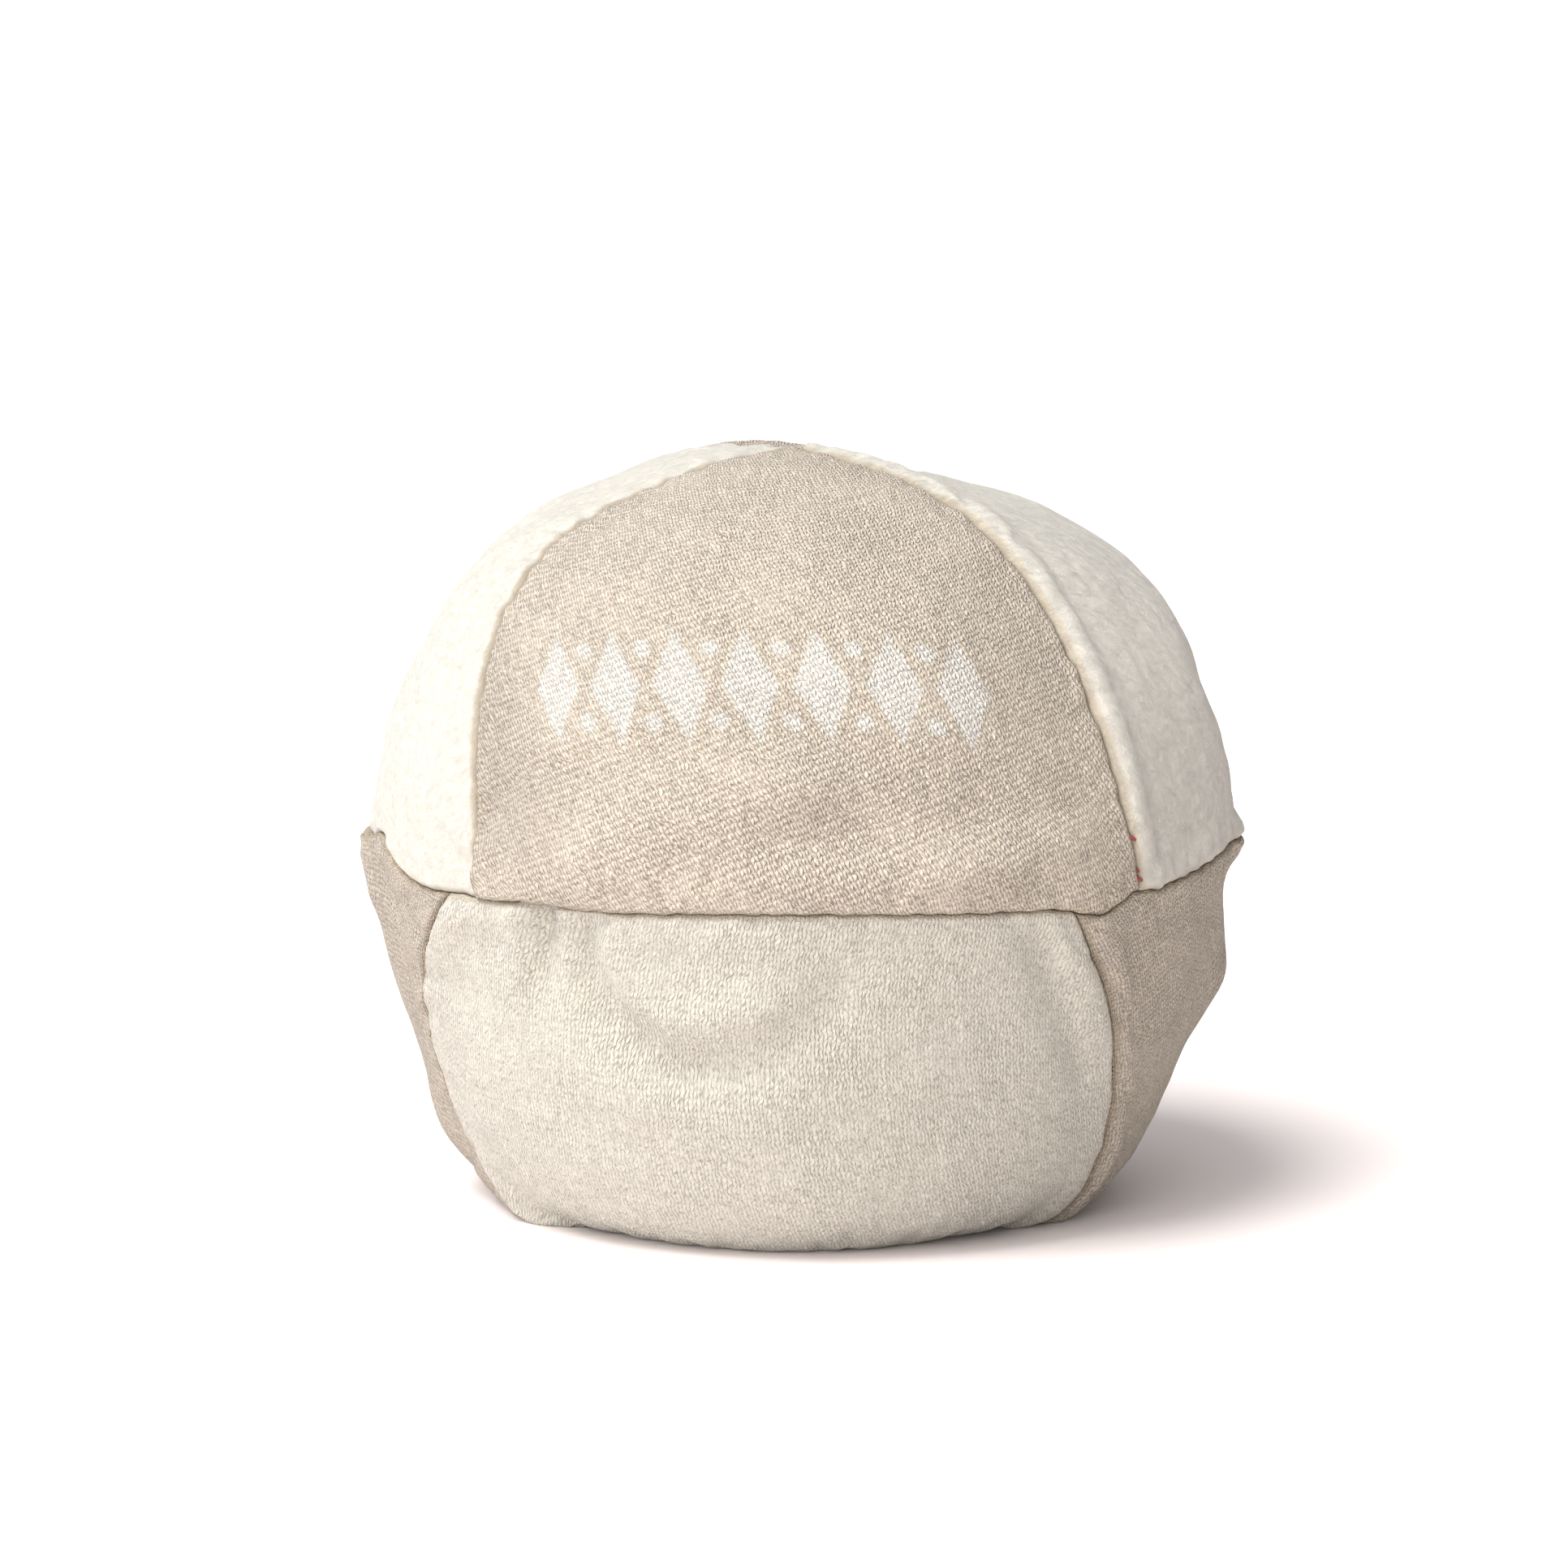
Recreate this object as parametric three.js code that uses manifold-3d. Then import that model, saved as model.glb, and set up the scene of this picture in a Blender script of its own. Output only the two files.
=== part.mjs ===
// A soft juggling beanbag that has settled on a table: four top and four bottom knit panels sewn
// edge to edge, with turned-in seam allowances, sewing threads in the grooves and a seed fill.
// Millimetres, +Z up, front towards -Y. The origin is the middle of the flat resting base.
import * as THREE from "three";
import { mergeVertices } from "three/addons/utils/BufferGeometryUtils.js";
import Module from "manifold-3d";

const wasm = await Module();
wasm.setup();

// ---- Driving dimensions of the settled ball ----
const RADIUS = 33.8; // across the ball at the equator seam
const DEPTH_SHARE = 0.985; // front-to-back size over left-to-right size
const HEIGHT = 59.4;
const EQUATOR_HEIGHT = 27.8; // of the equator seam at the front
const EQUATOR_WAVE = 0.5; // the seam lifts at the sides and hangs at the corners
const BASE_RADIUS = 21; // of the flat patch that the ball rests on
const CROWN_POWER = 2.12; // superellipse power of the top half
const WALL_SHARE = 0.6; // of a bottom panel's length that is wall, the rest lies on the table
const BULGE = 0.7; // how far a panel's middle stands out from its seams

// ---- Cloth, seams and thread ----
const CLOTH = 1.2; // thickness of the brushed knit
const ROLL = 1.5; // outer radius of the cloth where it turns in at a seam
const ALLOWANCE = 4; // depth of the turned-in edge below the roll
const SEAM_GAP = 0.3; // between two panels
const TIP_RADIUS = 0.8; // where a panel's point stops, from the pole
const EDGE_ROOM = 2.4; // half width under which the edge shape shrinks, near a point
const THREAD_RADIUS = 0.2;
const THREAD_TO_POLE = 6; // how far from the pole a thread stops, in lengths of a panel's blunt point
const THREAD_TO_EQUATOR = 1.4; // how far from the equator seam a thread stops
const EQUATOR_THREAD_START = 3; // past the closing seam, in degrees
const EQUATOR_THREAD_TURN = 354; // in degrees, a little short of the whole way round
const CLEARANCE = 0.32; // between a thread and the cloth

// ---- Fill ----
const FILL_ROOM = 0.6; // between the fill and the cloth
const FILL_SINK = 3; // how far the seeds have settled below the crown
const GROOVE_DEPTH = ROLL + ALLOWANCE + FILL_ROOM; // room in the fill for the turned-in edges
const GROOVE_HALF = SEAM_GAP / 2 + CLOTH + FILL_ROOM;
const WIDEST_TURN = 0.75; // of a groove to either side of its seam, in radians, close to a pole
const GROOVE_FOOT = 0.2; // distance from the equator seam to where a groove starts
const GROOVE_TO_POLE = 0.5; // like THREAD_TO_POLE, for a groove
const GROOVE_TOP_RISE = 0.995; // no groove goes nearer to a pole

// ---- Seams. `at` is the longitude where a seam leaves the equator, in degrees from the front
// towards +X; `bow` is how far it swings on its way to the pole, and `peak` where it swings most.
const TOP_SEAMS = [
  { at: -45.5, bow: -15.5, peak: 0.66 },
  { at: 49, bow: -4, peak: 0.4 },
  { at: 137, bow: 5, peak: 0.5 },
  { at: 224, bow: 6, peak: 0.5 },
];
const BOTTOM_SEAMS = [
  { at: -51.5, bow: -20, peak: 0.26 },
  { at: 37.5, bow: 21, peak: 0.4 },
  { at: 129, bow: 7, peak: 0.35 },
  { at: 216, bow: -6, peak: 0.35 },
];
const PANEL_NAMES = ["front", "right", "back", "left"];
const SEAM_NAMES = ["front_left", "front_right", "back_right", "back_left"];
const CLOSING_SEAM = 1; // the top seam whose foot is sewn shut by hand
const CLOSING_RISE = 0.3; // how far up that seam the machine stitches start
const KNOT_RISE = 0.27; // of the knot that ends the hand stitches
const KNOT_ROOM = 0.02; // in rise, between the hand stitches and their knot
const KNOT_RADIUS = 0.25;

// ---- Mesh fineness ----
const ROLL_ANGLES = [0, 45, 90];
const INNER_COLUMNS = 5;
const TOP_ROWS = 10;
const WALL_ROWS = 9;
const BASE_ROWS = 5;
const THREAD_SIDES = 6;
const SEAM_STEPS = { top: 14, bottom: 26 };
const EQUATOR_STEPS = 44;
const CLOSING_STEPS = 6;
const FILL_COLUMNS = 28;
const FILL_ROWS = 8;

// ---- Colours ----
const BEIGE = { color: 0xcdbda6, roughness: 0.95 };
const CREAM = { color: 0xe9e4d8, roughness: 0.95 };
const SEAM_THREAD = { color: 0xb9a27e, roughness: 0.7 };
const CLOSING_THREAD = { color: 0x6b1f26, roughness: 0.7 };
const SEED = { color: 0xd8b873, roughness: 0.6 };

const ball = new THREE.Group();
const { degToRad, lerp } = THREE.MathUtils;
const QUARTER = Math.PI / 2;

function addMesh(name, geometry, finish) {
  const mesh = new THREE.Mesh(geometry, new THREE.MeshStandardMaterial({ metalness: 0, ...finish }));
  mesh.name = name;
  ball.add(mesh);
}

// ---- The cover's surface ----
function place(lon, radius, height) {
  return new THREE.Vector3(radius * Math.sin(lon), -radius * Math.cos(lon) * DEPTH_SHARE, height);
}

function equatorHeight(lon) {
  return EQUATOR_HEIGHT + EQUATOR_WAVE * (Math.cos(4 * lon) - Math.cos(2 * lon));
}

// The two halves. `rise` runs from 0 at the equator seam to 1 at the pole, `riseOver` gives it for a
// distance from the equator seam, and `riseAtTip` where a panel's point stops.
const topHalf = {
  seams: TOP_SEAMS,
  steps: SEAM_STEPS.top,
  riseOver: (distance) =>
    Math.asin((distance / (HEIGHT - EQUATOR_HEIGHT)) ** (CROWN_POWER / 2)) / QUARTER,
  riseAtTip: Math.acos((TIP_RADIUS / RADIUS) ** (CROWN_POWER / 2)) / QUARTER,
  point(lon, rise) {
    const radius = RADIUS * Math.cos(rise * QUARTER) ** (2 / CROWN_POWER);
    const foot = equatorHeight(lon);
    return place(lon, radius, foot + (HEIGHT - foot) * Math.sin(rise * QUARTER) ** (2 / CROWN_POWER));
  },
  swell: (rise) => BULGE * Math.sin(Math.PI * rise),
};
const bottomHalf = {
  seams: BOTTOM_SEAMS,
  steps: SEAM_STEPS.bottom,
  riseOver: (distance) => WALL_SHARE * (1 - Math.sqrt(1 - distance / EQUATOR_HEIGHT)),
  riseAtTip: 1 - ((1 - WALL_SHARE) * TIP_RADIUS) / BASE_RADIUS,
  point(lon, rise) {
    if (rise >= WALL_SHARE) return place(lon, (BASE_RADIUS * (1 - rise)) / (1 - WALL_SHARE), 0);
    const left = 1 - rise / WALL_SHARE;
    return place(lon, lerp(BASE_RADIUS, RADIUS, left), equatorHeight(lon) * left ** 2);
  },
  swell: (rise) => (rise < WALL_SHARE ? BULGE * Math.sin((Math.PI * rise) / WALL_SHARE) : 0),
};

// A smooth hump from 0 over 1 at `peak` back to 0, for shares from 0 to 1.
function hump(share, peak) {
  const early = Math.max(1, peak / (1 - peak));
  const late = Math.max(1, (1 - peak) / peak);
  return (share / peak) ** early * ((1 - share) / (1 - peak)) ** late;
}

function seamLongitude(seam, rise) {
  return degToRad(seam.at + seam.bow * hump(Math.min(rise, 1), seam.peak));
}

// How much longer a stretch of a seam is than the straight way up beside it.
function seamStretch(half, seam, rise) {
  const [low, high] = [Math.max(rise - 1e-3, 0), Math.min(rise + 1e-3, 1)];
  const slanted = half.point(seamLongitude(seam, low), low)
    .distanceTo(half.point(seamLongitude(seam, high), high));
  const lon = seamLongitude(seam, rise);
  return slanted / half.point(lon, low).distanceTo(half.point(lon, high));
}

// The way into the ball, square to the surface.
function inward(half, lon, rise) {
  const step = 1e-3;
  const along = half.point(lon + step, rise).sub(half.point(lon - step, rise));
  const up = half.point(lon, Math.min(rise + step, 1)).sub(half.point(lon, Math.max(rise - step, 0)));
  const normal = along.cross(up).normalize();
  return half === topHalf ? normal.negate() : normal;
}

// The way in at the equator seam, where the edges of both halves go in side by side.
function inwardAtEquator(lon) {
  return inward(topHalf, lon, 0).setZ(0).normalize();
}

// A point inside the ball: square to the surface as deep as the roll, then towards the middle.
const MIDDLE = new THREE.Vector3(0, 0, EQUATOR_HEIGHT);

function sunk(half, lon, rise, depth, way = inward(half, lon, rise)) {
  const point = half.point(lon, rise).addScaledVector(way, Math.min(depth, ROLL));
  const onward = MIDDLE.clone().sub(point).normalize();
  return point.addScaledVector(onward, Math.max(depth - ROLL, 0));
}

// ---- Panels ----
// The cross-section of a panel's edge, from the end of the allowance over the roll to the open cloth:
// for the outer and the inner face, how far from the seam and how deep below the surface it is.
const edgeProfile = [
  { outer: [0, ROLL + ALLOWANCE], inner: [CLOTH, ROLL + ALLOWANCE] },
  ...ROLL_ANGLES.map((angle) => {
    const cos = Math.cos(degToRad(angle));
    const sin = Math.sin(degToRad(angle));
    const inside = ROLL - CLOTH;
    return {
      outer: [ROLL * (1 - cos), ROLL * (1 - sin)],
      inner: [ROLL - inside * cos, ROLL - inside * sin],
    };
  }),
];

// Stations across a panel, each with its distance from the left edge or the right edge, or a share
// of the open cloth between them.
const columns = [
  ...edgeProfile.map((edge) => ({ edge, side: -1 })),
  ...Array.from({ length: INNER_COLUMNS }, (_, i) => ({ share: (i + 1) / (INNER_COLUMNS + 1) })),
  ...edgeProfile.toReversed().map((edge) => ({ edge, side: 1 })),
];

// Stations from the equator to the panel's point.
function rowsOf(half) {
  const edgeRows = edgeProfile.map((edge) => ({ edge }));
  const start = half.riseOver(ROLL + SEAM_GAP / 2);
  const spread = (from, to, count) =>
    Array.from({ length: count }, (_, i) => ({ rise: lerp(from, to, (i + 1) / count) }));
  if (half === topHalf) return [...edgeRows, ...spread(start, half.riseAtTip, TOP_ROWS)];
  return [
    ...edgeRows,
    ...spread(start, WALL_SHARE, WALL_ROWS),
    ...spread(WALL_SHARE, half.riseAtTip, BASE_ROWS),
  ];
}

// One point of a panel's outer or inner face.
function panelPoint(half, leftSeam, rightSeam, column, row, face) {
  const floor = face === "inner" ? CLOTH : 0;
  const [rowOff, rowDepth] = row.edge ? row.edge[face] : [0, floor];
  const rise = row.edge ? half.riseOver(rowOff + SEAM_GAP / 2) : row.rise;
  const left = seamLongitude(leftSeam, rise);
  const right = seamLongitude(rightSeam, rise);
  const ring = half.point((left + right) / 2, rise);
  const radius = Math.hypot(ring.x, ring.y);
  const width = (right - left) * radius;
  const squeeze = Math.min(1, width / (2 * EDGE_ROOM));
  const turn = (seam, off) =>
    ((SEAM_GAP / 2 + off * squeeze) * seamStretch(half, seam, rise)) / radius;
  const open = [left + turn(leftSeam, ROLL), right - turn(rightSeam, ROLL)];
  let lon = lerp(...open, column.share ?? 0);
  let columnDepth = floor;
  if (column.edge) {
    const [off, depth] = column.edge[face];
    lon = column.side < 0 ? left + turn(leftSeam, off) : right - turn(rightSeam, off);
    columnDepth = floor + (depth - floor) * squeeze;
  }
  const depth = Math.max(columnDepth, rowDepth);
  const across = ((lon - left) / (right - left)) * 2 - 1;
  const swell = half.swell(rise) * (1 - across ** 2);
  const way = row.edge ? inwardAtEquator(lon) : inward(half, lon, rise);
  return sunk(half, lon, rise, depth - swell, way);
}

// A closed body between two grids of points that share their edges' outline.
function shellGeometry(outer, inner) {
  const rows = outer.length;
  const cols = outer[0].length;
  const points = [...outer.flat(), ...inner.flat()];
  const top = (i, j) => i * cols + j;
  const under = (i, j) => rows * cols + i * cols + j;
  const index = [];
  const quad = (a, b, c, d) => index.push(a, b, c, a, c, d);
  for (let i = 0; i < rows - 1; i++) {
    for (let j = 0; j < cols - 1; j++) {
      // Cells are split the other way in the right half, so that facing edges match.
      const upper = [top(i, j), top(i, j + 1), top(i + 1, j + 1), top(i + 1, j)];
      const lower = [under(i, j), under(i + 1, j), under(i + 1, j + 1), under(i, j + 1)];
      for (const corners of [upper, lower]) {
        if (2 * j >= cols - 1) corners.push(corners.shift());
        quad(...corners);
      }
    }
    quad(top(i, 0), top(i + 1, 0), under(i + 1, 0), under(i, 0));
    quad(top(i + 1, cols - 1), top(i, cols - 1), under(i, cols - 1), under(i + 1, cols - 1));
  }
  for (let j = 0; j < cols - 1; j++) {
    quad(top(0, j + 1), top(0, j), under(0, j), under(0, j + 1));
    quad(top(rows - 1, j), top(rows - 1, j + 1), under(rows - 1, j + 1), under(rows - 1, j));
  }
  const geometry = new THREE.BufferGeometry().setFromPoints(points);
  return geometry.setIndex(index);
}

// Turns every face round, for a grid that was laid out the other way up.
function flipped(geometry) {
  const index = Array.from(geometry.index.array);
  for (let i = 0; i < index.length; i += 3) {
    [index[i + 1], index[i + 2]] = [index[i + 2], index[i + 1]];
  }
  return geometry.setIndex(index);
}

function panelGeometry(half, k) {
  const left = half.seams[k];
  const next = half.seams[(k + 1) % 4];
  const right = k === 3 ? { ...next, at: next.at + 360 } : next;
  const grid = (face) =>
    rowsOf(half).map((row) =>
      columns.map((column) => panelPoint(half, left, right, column, row, face)),
    );
  const geometry = shellGeometry(grid("outer"), grid("inner"));
  return half === topHalf ? geometry : flipped(geometry);
}

function addPanels() {
  PANEL_NAMES.forEach((name, k) => {
    addMesh(`top_${name}_panel`, panelGeometry(topHalf, k), k % 2 ? CREAM : BEIGE);
    addMesh(`bottom_${name}_panel`, panelGeometry(bottomHalf, k), k % 2 ? BEIGE : CREAM);
  });
}

// ---- Threads ----
// How deep a thread lies in the valley between two rolled edges.
const THREAD_DEPTH =
  ROLL - Math.sqrt((ROLL + CLEARANCE + THREAD_RADIUS) ** 2 - (ROLL + SEAM_GAP / 2) ** 2);

function tube(points, steps) {
  const section = new THREE.Shape();
  for (let i = 0; i < THREAD_SIDES; i++) {
    const turn = (i * 2 * Math.PI) / THREAD_SIDES;
    const corner = [THREAD_RADIUS * Math.cos(turn), THREAD_RADIUS * Math.sin(turn)];
    if (i) section.lineTo(...corner);
    else section.moveTo(...corner);
  }
  const extrudePath = new THREE.CatmullRomCurve3(points);
  return new THREE.ExtrudeGeometry(section, { extrudePath, steps, bevelEnabled: false });
}

function seamPath(half, seam, from, to) {
  return Array.from({ length: half.steps + 1 }, (_, i) => {
    const rise = lerp(from, to, i / half.steps);
    return sunk(half, seamLongitude(seam, rise), rise, THREAD_DEPTH);
  });
}

function addThreads() {
  for (const [side, half] of [["top", topHalf], ["bottom", bottomHalf]]) {
    const from = half.riseOver(THREAD_TO_EQUATOR);
    const to = 1 - (1 - half.riseAtTip) * THREAD_TO_POLE;
    half.seams.forEach((seam, k) => {
      const byHand = half === topHalf && k === CLOSING_SEAM;
      const start = byHand ? CLOSING_RISE : from;
      const path = seamPath(half, seam, start, to);
      addMesh(`${side}_${SEAM_NAMES[k]}_seam_thread`, tube(path, half.steps), SEAM_THREAD);
    });
  }
  const start = TOP_SEAMS[CLOSING_SEAM].at + EQUATOR_THREAD_START;
  const around = Array.from({ length: EQUATOR_STEPS + 1 }, (_, i) => {
    const lon = degToRad(start + (EQUATOR_THREAD_TURN * i) / EQUATOR_STEPS);
    return sunk(topHalf, lon, 0, THREAD_DEPTH, inwardAtEquator(lon));
  });
  addMesh("equator_seam_thread", tube(around, EQUATOR_STEPS), SEAM_THREAD);
}

// The hand-sewn end: a thread up the foot of one seam, tied off in a knot at its upper end.
function addClosing() {
  const seam = TOP_SEAMS[CLOSING_SEAM];
  const path = seamPath(topHalf, seam, topHalf.riseOver(THREAD_TO_EQUATOR), KNOT_RISE - KNOT_ROOM);
  addMesh("closing_thread", tube(path, CLOSING_STEPS), CLOSING_THREAD);
  const knot = new THREE.IcosahedronGeometry(KNOT_RADIUS, 1);
  const middle = sunk(topHalf, seamLongitude(seam, KNOT_RISE), KNOT_RISE, THREAD_DEPTH);
  addMesh("closing_knot", knot.translate(...middle), CLOSING_THREAD);
}

// ---- Fill ----
function solidOf(geometry) {
  const bare = mergeVertices(new THREE.BufferGeometry()
    .setAttribute("position", geometry.getAttribute("position"))
    .setIndex(geometry.index), 1e-4);
  return new wasm.Manifold(new wasm.Mesh({
    numProp: 3,
    vertProperties: bare.attributes.position.array,
    triVerts: new Uint32Array(bare.index.array),
  }));
}

function geometryOf(solid) {
  const mesh = solid.getMesh();
  return new THREE.BufferGeometry()
    .setAttribute("position", new THREE.BufferAttribute(mesh.vertProperties, 3))
    .setIndex(new THREE.BufferAttribute(mesh.triVerts, 1));
}

// The whole inside of the cover as one closed body, lower under the crown where the seeds settled.
function fillBody() {
  const depth = CLOTH + FILL_ROOM;
  const ring = (half, rise) =>
    Array.from({ length: FILL_COLUMNS }, (_, i) => {
      const sink = half === topHalf ? FILL_SINK * rise ** 3 : 0;
      return sunk(half, (i * 2 * Math.PI) / FILL_COLUMNS, rise, depth + sink);
    });
  const rise = (i, rows) => i / rows;
  const rings = [
    ...Array.from({ length: FILL_ROWS }, (_, i) => ring(bottomHalf, rise(FILL_ROWS - i - 0.5, FILL_ROWS))),
    ...Array.from({ length: FILL_ROWS }, (_, i) => ring(topHalf, rise(i + 0.5, FILL_ROWS))),
  ];
  const points = [...rings.flat(), new THREE.Vector3(0, 0, depth)];
  points.push(new THREE.Vector3(0, 0, HEIGHT - depth - FILL_SINK));
  const index = [];
  const at = (i, j) => i * FILL_COLUMNS + (j % FILL_COLUMNS);
  const last = rings.length - 1;
  for (let j = 0; j < FILL_COLUMNS; j++) {
    for (let i = 0; i < last; i++) {
      index.push(at(i, j), at(i, j + 1), at(i + 1, j + 1), at(i, j), at(i + 1, j + 1), at(i + 1, j));
    }
    index.push(points.length - 2, at(0, j + 1), at(0, j), points.length - 1, at(last, j), at(last, j + 1));
  }
  return solidOf(new THREE.BufferGeometry().setFromPoints(points).setIndex(index));
}

// A curved plate along a seam, as wide and deep as the turned-in edges need.
function meridianGroove(half, seam) {
  const top = Math.min(1 - (1 - half.riseAtTip) * GROOVE_TO_POLE, GROOVE_TOP_RISE);
  const grid = (depth) =>
    Array.from({ length: half.steps + 1 }, (_, i) => {
      const rise = lerp(half.riseOver(GROOVE_FOOT), top, i / half.steps);
      const lon = seamLongitude(seam, rise);
      const ring = half.point(lon, rise);
      const width = GROOVE_HALF * seamStretch(half, seam, rise);
      const turn = Math.min(width / Math.hypot(ring.x, ring.y), WIDEST_TURN);
      return [-turn, turn].map((side) => sunk(half, lon + side, rise, depth));
    });
  const plate = (from, to) => {
    const geometry = shellGeometry(grid(from), grid(to));
    return solidOf(half === topHalf ? geometry : flipped(geometry));
  };
  return plate(-1, ROLL).add(plate(ROLL, GROOVE_DEPTH));
}

// A ring-shaped plate inside the equator seam.
function equatorGroove() {
  const corner = (lon, depth, side) =>
    sunk(topHalf, lon, 0, depth, inwardAtEquator(lon)).add(new THREE.Vector3(0, 0, side * GROOVE_HALF));
  const rings = Array.from({ length: FILL_COLUMNS }, (_, i) => {
    const lon = (i * 2 * Math.PI) / FILL_COLUMNS;
    return [[-1, -1], [-1, 1], [GROOVE_DEPTH, 1], [GROOVE_DEPTH, -1]].map(([depth, side]) =>
      corner(lon, depth, side));
  });
  const index = [];
  const at = (i, j) => (i % FILL_COLUMNS) * 4 + (j % 4);
  for (let i = 0; i < FILL_COLUMNS; i++) {
    for (let j = 0; j < 4; j++) {
      index.push(at(i, j), at(i + 1, j), at(i + 1, j + 1), at(i, j), at(i + 1, j + 1), at(i, j + 1));
    }
  }
  return solidOf(new THREE.BufferGeometry().setFromPoints(rings.flat()).setIndex(index));
}

function addFill() {
  let fill = fillBody().subtract(equatorGroove());
  for (const half of [topHalf, bottomHalf]) {
    for (const seam of half.seams) fill = fill.subtract(meridianGroove(half, seam));
  }
  addMesh("seed_fill", geometryOf(fill), SEED);
}

addPanels();
addThreads();
addClosing();
addFill();

export default ball;
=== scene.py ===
"""The looks of a settled juggling beanbag: eight knit panels, their seams, and the seeds inside.

Sizes are in millimetres while a shape is worked out, and in metres once it is a mesh.
"""
import logging
import math
from collections.abc import Iterator
from contextlib import contextmanager
from dataclasses import dataclass, field, replace
from enum import Enum
from typing import ClassVar

import bpy
import numpy as np
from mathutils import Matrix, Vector


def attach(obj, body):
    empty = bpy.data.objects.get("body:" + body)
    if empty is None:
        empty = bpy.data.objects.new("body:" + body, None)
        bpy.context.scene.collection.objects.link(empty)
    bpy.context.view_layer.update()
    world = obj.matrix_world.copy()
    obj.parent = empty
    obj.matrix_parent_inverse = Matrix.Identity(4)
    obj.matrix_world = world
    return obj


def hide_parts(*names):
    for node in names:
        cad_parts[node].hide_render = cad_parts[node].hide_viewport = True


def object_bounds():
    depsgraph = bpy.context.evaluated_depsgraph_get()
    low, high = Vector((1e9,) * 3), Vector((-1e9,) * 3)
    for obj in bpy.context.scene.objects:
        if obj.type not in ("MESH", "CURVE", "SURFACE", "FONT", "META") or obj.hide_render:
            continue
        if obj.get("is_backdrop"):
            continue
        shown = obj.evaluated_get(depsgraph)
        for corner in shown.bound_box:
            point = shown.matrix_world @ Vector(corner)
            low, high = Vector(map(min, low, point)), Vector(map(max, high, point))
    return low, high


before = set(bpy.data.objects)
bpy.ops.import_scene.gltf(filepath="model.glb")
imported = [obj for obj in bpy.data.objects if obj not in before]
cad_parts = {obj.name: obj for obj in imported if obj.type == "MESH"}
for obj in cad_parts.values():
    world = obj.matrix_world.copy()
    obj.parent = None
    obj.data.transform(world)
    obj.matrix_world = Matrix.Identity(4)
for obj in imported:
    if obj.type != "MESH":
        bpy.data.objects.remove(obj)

CAD_LOW, CAD_HIGH = (np.array(corner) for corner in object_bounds())

MM = 0.001
CHANCE = 20
ROOT = "root"
CLOTH_MAP = "cloth"
SEAM_ATTRIBUTE = "seam_distance"
UV_UNIT = 100.0  # millimetres of cloth to one unit of the UV map

Colour = tuple[float, float, float]
Array = np.ndarray
Node = bpy.types.Node
Socket = bpy.types.NodeSocket
Material = bpy.types.Material
Piece = bpy.types.Object

log = logging.getLogger("beanbag")


# ---------------------------------------------------------------- the ball's own shape


def smooth(low: float, high: float, value: Array) -> Array:
    """Rises smoothly from 0 at `low` to 1 at `high`."""
    share = np.clip((value - low) / (high - low), 0, 1)
    return share * share * (3 - 2 * share)


def unit(vectors: Array) -> Array:
    """Scales each vector to length 1."""
    return vectors / np.maximum(np.linalg.norm(vectors, axis=-1, keepdims=True), 1e-12)


@dataclass(frozen=True)
class BallSize:
    """Driving dimensions of the settled ball, as in the CAD part, in millimetres.

    `wander` is a row of soft rises of the equator seam, each a longitude in degrees, a height and
    how many degrees it reaches. `ripples` are how many waves go round and how high they are.
    """

    radius: float = float(CAD_HIGH[0] - CAD_LOW[0]) / 2 / MM
    height: float = float(CAD_HIGH[2]) / MM
    depth_share: float = float((CAD_HIGH[1] - CAD_LOW[1]) / (CAD_HIGH[0] - CAD_LOW[0]))
    equator: float = 27.8
    equator_wave: float = 0.5
    base_radius: float = 21.0
    crown_power: float = 2.12
    wall_share: float = 0.6
    bulge: float = 0.7
    wander: tuple[tuple[float, float, float], ...] = (
        (-57, -0.45, 6),
        (-36, 0.35, 6),
        (41, -0.9, 4.5),
        (48, 0.3, 3),
        (-73, 1.5, 6),
        (110, 0.5, 9),
        (165, -0.5, 12),
        (228, 0.6, 8),
    )
    ripples: tuple[tuple[int, float], ...] = ((61, 0.03), (97, 0.03), (131, 0.025))

    def equator_height(self, lon: Array) -> Array:
        """Height of the equator seam.

        Args:
            lon: longitudes in radians.

        Returns:
            The height there, in millimetres.
        """
        height = self.equator + self.equator_wave * (np.cos(4 * lon) - np.cos(2 * lon))
        for at, lift, reach in self.wander:
            away = (np.degrees(lon) - at + 180) % 360 - 180
            height = height + lift * np.exp(-((away / reach) ** 2))
        for waves, lift in self.ripples:
            height = height + lift * np.sin(waves * np.asarray(lon) + waves)
        return height

    def place(self, lon: Array, radius: Array, height: Array) -> Array:
        """Turns a longitude, radius and height into a point.

        Args:
            lon: radians from the front towards +X.
            radius: distance from the upright axis, before the depth is narrowed.
            height: height above the table.

        Returns:
            Points, with x, y and z in the last axis.
        """
        lon, radius, height = np.broadcast_arrays(lon, radius, height)
        y = -radius * np.cos(lon) * self.depth_share
        return np.stack([radius * np.sin(lon), y, height], axis=-1)


@dataclass(frozen=True)
class Wobble:
    """How unevenly a seam is sewn, as short waves along it.

    Each wave is a length in millimetres and how far the seam strays, in degrees. `seam_length` is
    about how long a seam is.
    """

    waves: tuple[tuple[float, float], ...] = ((3.4, 0.03), (2.2, 0.04), (1.7, 0.03))
    seam_length: float = 50.0

    def at(self, share: Array, start: float) -> Array:
        """How far a seam strays from its line.

        Args:
            share: places along the seam, as shares of its length.
            start: moves the waves, so that no two seams stray alike.

        Returns:
            Degrees for each place, 0 at both ends.
        """
        place = share * self.seam_length + start
        strays = sum(high * np.sin(2 * math.pi * place / size + size) for size, high in self.waves)
        return strays * np.sin(math.pi * share)


WOBBLE = Wobble()


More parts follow.
